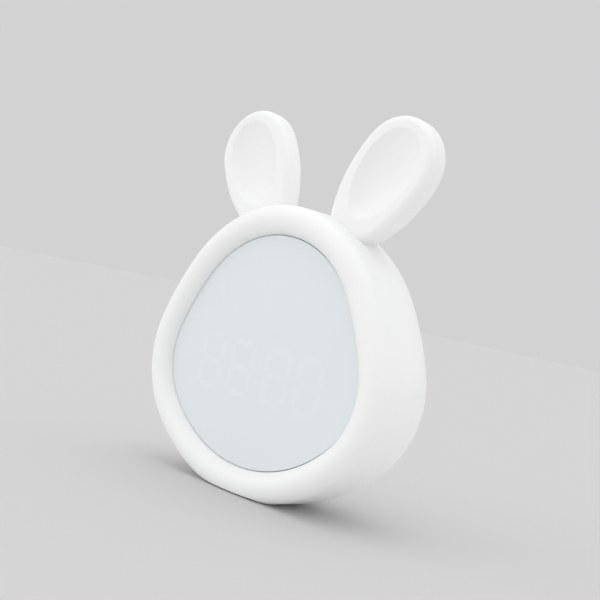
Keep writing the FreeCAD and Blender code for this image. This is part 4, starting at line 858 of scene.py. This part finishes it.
# %% [markdown]
# ## Finishes
#
# Each finish is a Principled shader whose colour, roughness and bump come from the shared effects.
# Values that are the same all over the surface are set on the shader itself. The white plastic is
# satin: broad soft highlights, grain of a few tenths of a millimetre in the bump, and a tone that
# drifts by about two per cent.

# %% Finish helpers
GRAIN_RELIEF, METAL_RELIEF, TRACE_RELIEF, CORE_RELIEF = 0.00002, 0.00001, 0.00004, 0.0003
GRAIN_BUMP, METAL_BUMP, TRACE_BUMP, CORE_BUMP = 0.35, 0.3, 0.4, 0.7
METAL_BRIGHT, METAL_DULL = 0.1, 0.15
FINISHES = {}


def start_finish(slot, roughness, metallic=0.0, **fixed):
    """A new material; returns its node tree and its shader, which takes the fixed values."""
    material = bpy.data.materials.new(slot)
    material.use_nodes = True
    shader = material.node_tree.nodes["Principled BSDF"]
    shader.inputs["Roughness"].default_value = roughness
    shader.inputs["Metallic"].default_value = metallic
    for name, value in fixed.items():
        shader.inputs[name.replace("_", " ")].default_value = value
    FINISHES[slot] = material
    return material.node_tree, shader


def use(tree, group, **values):
    """Place a shared effect in a material with its own values; returns the effect's outputs."""
    node = tree.nodes.new("ShaderNodeGroup")
    node.node_tree = group
    for name, value in values.items():
        node.inputs[name].default_value = value
    return node.outputs


def raise_surface(tree, shader, height, strength, distance):
    """A bump of a real height in metres."""
    bump = add(tree, "Bump", Strength=strength, Distance=distance, Height=height)
    tree.links.new(bump.outputs[0], shader.inputs["Normal"])


def colour(tree, shader, factor, dark, light):
    """Let the shader's colour go from dark to light with a factor."""
    tree.links.new(blended(tree, factor, (*dark, 1), (*light, 1)), shader.inputs["Base Color"])


def moulded(slot, dark, light, roughness, grain=FINE_GRAIN, relief=GRAIN_RELIEF, drift=0.06, **fixed):
    """Moulded plastic or rubber: drifting tone, grain, and a roughness that wanders a little."""
    tree, shader = start_finish(slot, roughness, **fixed)
    effect = use(tree, GRAIN, Grain=grain)
    colour(tree, shader, effect["Tone"], dark, light)
    wander = add(tree, "MapRange", Value=effect["Shine"], To_Min=roughness - drift, To_Max=roughness + drift)
    tree.links.new(wander.outputs[0], shader.inputs["Roughness"])
    raise_surface(tree, shader, effect["Height"], GRAIN_BUMP, relief)
    return tree, shader


def metal(slot, dark, light, roughness, lines=DRAWN_LINES):
    """Plated or pressed metal: drawn lines in the bump and a dull bloom in the roughness."""
    tree, shader = start_finish(slot, roughness, 1.0)
    effect = use(tree, DRAWN, Lines=lines)
    colour(tree, shader, effect["Tone"], dark, light)
    bloom = add(tree, "MapRange", Value=effect["Tone"], To_Min=roughness - METAL_BRIGHT,
                To_Max=roughness + METAL_DULL)
    tree.links.new(bloom.outputs[0], shader.inputs["Roughness"])
    raise_surface(tree, shader, effect["Height"], METAL_BUMP, METAL_RELIEF)


print("finish helpers:", [helper.__name__ for helper in (moulded, metal)])

# %% Outside finishes
WHITE_DARK, WHITE_LIGHT = (0.872, 0.880, 0.868), (0.892, 0.896, 0.890)
DIGIT_TONE, DIGIT_STRENGTH = (0.83, 0.86, 0.875, 1), 0.24
moulded("white_housing", WHITE_DARK, WHITE_LIGHT, 0.46)
moulded("ear_white", WHITE_DARK, WHITE_LIGHT, 0.48)
moulded("button_white", (0.80, 0.81, 0.81), (0.84, 0.85, 0.85), 0.42, grain=3400.0)
moulded("foot_rubber", (0.50, 0.52, 0.53), (0.58, 0.60, 0.61), 0.75, grain=5200.0, relief=0.00005)


def window_finish():
    """Milky plastic: the digits' paler tone lies under a smooth, slightly shiny surface."""
    tree, shader = moulded("lens_panel", (0.735, 0.785, 0.803), (0.751, 0.797, 0.813), 0.30, grain=900.0,
                           relief=0.000006, drift=0.03, Coat_Weight=0.15, Coat_Roughness=0.2)
    ground = shader.inputs["Base Color"].links[0].from_socket
    mask = maths(tree, "MULTIPLY", use(tree, DIGITS)["Mask"], DIGIT_STRENGTH)
    tree.links.new(blended(tree, mask, ground, DIGIT_TONE), shader.inputs["Base Color"])


window_finish()
moulded("knob_grey", (0.46, 0.51, 0.55), (0.52, 0.57, 0.61), 0.5)
print("outside finishes:", sorted(FINISHES))

# %% [markdown]
# ## Inside finishes
#
# The pieces inside hardly ever show, but the model may be opened, so each has the look of its
# material: varnished boards with copper lines, plated screws, a sleeved cell with bare ends, a
# pulp cone and insulated leads. The digit mask's slot keeps the record's name, mask_black, but its
# finish is pale, to go with a window that shows no dark plate behind it.

# %% Inside finishes
CELL_BARE_FROM = 24.2
moulded("inner_plastic", (0.72, 0.72, 0.70), (0.78, 0.78, 0.76), 0.55)
moulded("mask_black", (0.72, 0.72, 0.72), (0.78, 0.78, 0.78), 0.7, grain=3000.0)
moulded("film", (0.80, 0.81, 0.81), (0.86, 0.87, 0.87), 0.6, grain=6000.0)
moulded("led_white", (0.90, 0.82, 0.50), (0.93, 0.90, 0.74), 0.35, grain=8000.0)
moulded("switch_black", (0.035, 0.035, 0.04), (0.06, 0.06, 0.065), 0.55)
moulded("stem_black", (0.05, 0.05, 0.055), (0.08, 0.08, 0.085), 0.45)
moulded("socket_white", (0.80, 0.79, 0.74), (0.87, 0.86, 0.81), 0.5)
moulded("speaker_paper", (0.04, 0.04, 0.04), (0.09, 0.09, 0.085), 0.9, grain=3800.0, relief=0.00012)
moulded("lead_red", (0.48, 0.03, 0.025), (0.60, 0.05, 0.04), 0.5)
moulded("lead_black", (0.03, 0.03, 0.03), (0.05, 0.05, 0.05), 0.5)
metal("screw_steel", (0.52, 0.53, 0.56), (0.66, 0.67, 0.69), 0.32)
metal("socket_steel", (0.62, 0.63, 0.64), (0.74, 0.75, 0.76), 0.25)
metal("copper", (0.62, 0.34, 0.20), (0.78, 0.50, 0.32), 0.3)
metal("speaker_metal", (0.36, 0.37, 0.39), (0.50, 0.51, 0.53), 0.45, lines=2500.0)


def board_finish():
    """Green varnish over copper: lines shine through paler, pads are bare and metallic."""
    tree, shader = start_finish("board_green", 0.3, Coat_Weight=0.4)
    effect = use(tree, TRACES)
    lines = blended(tree, effect["Traces"], (0.02, 0.13, 0.06, 1), (0.05, 0.24, 0.11, 1))
    tree.links.new(blended(tree, effect["Pads"], lines, (0.75, 0.70, 0.55, 1)), shader.inputs["Base Color"])
    tree.links.new(effect["Pads"], shader.inputs["Metallic"])
    raise_surface(tree, shader, effect["Traces"], TRACE_BUMP, TRACE_RELIEF)


def cell_finish():
    """A blue sleeve that leaves the cell's two ends bare: the mask is the place along the cell."""
    tree, shader = moulded("cell_blue", (0.05, 0.13, 0.33), (0.08, 0.18, 0.42), 0.3)
    ground = shader.inputs["Base Color"].links[0].from_socket
    along = maths(tree, "ABSOLUTE", add(tree, "SeparateXYZ", Vector=object_place(tree)).outputs["X"])
    bare = maths(tree, "GREATER_THAN", along, CELL_BARE_FROM * MM)
    tree.links.new(blended(tree, bare, ground, (0.7, 0.7, 0.7, 1)), shader.inputs["Base Color"])
    tree.links.new(bare, shader.inputs["Metallic"])


def ribbon_finish():
    """A flat cable: narrow cores side by side, a wave across its width. The wave raises the cores in the
    bump and paints the grooves between them darker, which is painted shade.
    """
    tree, shader = start_finish("ribbon_grey", 0.45)
    core_ridges_and_groove_shade = add(tree, "TexWave", {"wave_type": "BANDS", "bands_direction": "X"},
                Vector=object_place(tree), Scale=250.0).outputs["Fac"]
    # painted shade: the colour is darker where the wave is low, in the grooves between the cores
    colour(tree, shader, core_ridges_and_groove_shade, (0.42, 0.43, 0.45), (0.62, 0.63, 0.65))
    raise_surface(tree, shader, core_ridges_and_groove_shade, CORE_BUMP, CORE_RELIEF)


board_finish()
cell_finish()
ribbon_finish()
print(len(FINISHES), "finishes for", len(set(SLOTS.values())), "slots")

# %% [markdown]
# ## Put the finishes on
#
# The record names a material slot for each node. Nodes that stay get the finish of their slot, and
# so does each new piece, through the node that it stands for.

# %% Assign
for node, slot in SLOTS.items():
    mesh = bpy.data.objects[node].data
    mesh.materials.clear()
    mesh.materials.append(FINISHES[slot])
for piece in [front_shell, window, foot, knob, case_screws, *ears, *caps]:
    piece.data.materials.append(FINISHES[piece["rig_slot"]])
missing = sorted(set(SLOTS.values()) - set(FINISHES))
print("slots without a finish:", missing)

# %% [markdown]
# ## Size
#
# The new surfaces should stay inside the frame's box, so how far each side of the scene's box has moved from
# the frame's box is printed, in millimetres.

# %% Print how far the box has grown
seen_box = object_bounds()
grown = [round((b - a) / MM, 3) for low, high in zip(cad_box, seen_box) for a, b in zip(low, high)]
print("grown by", grown, "mm")
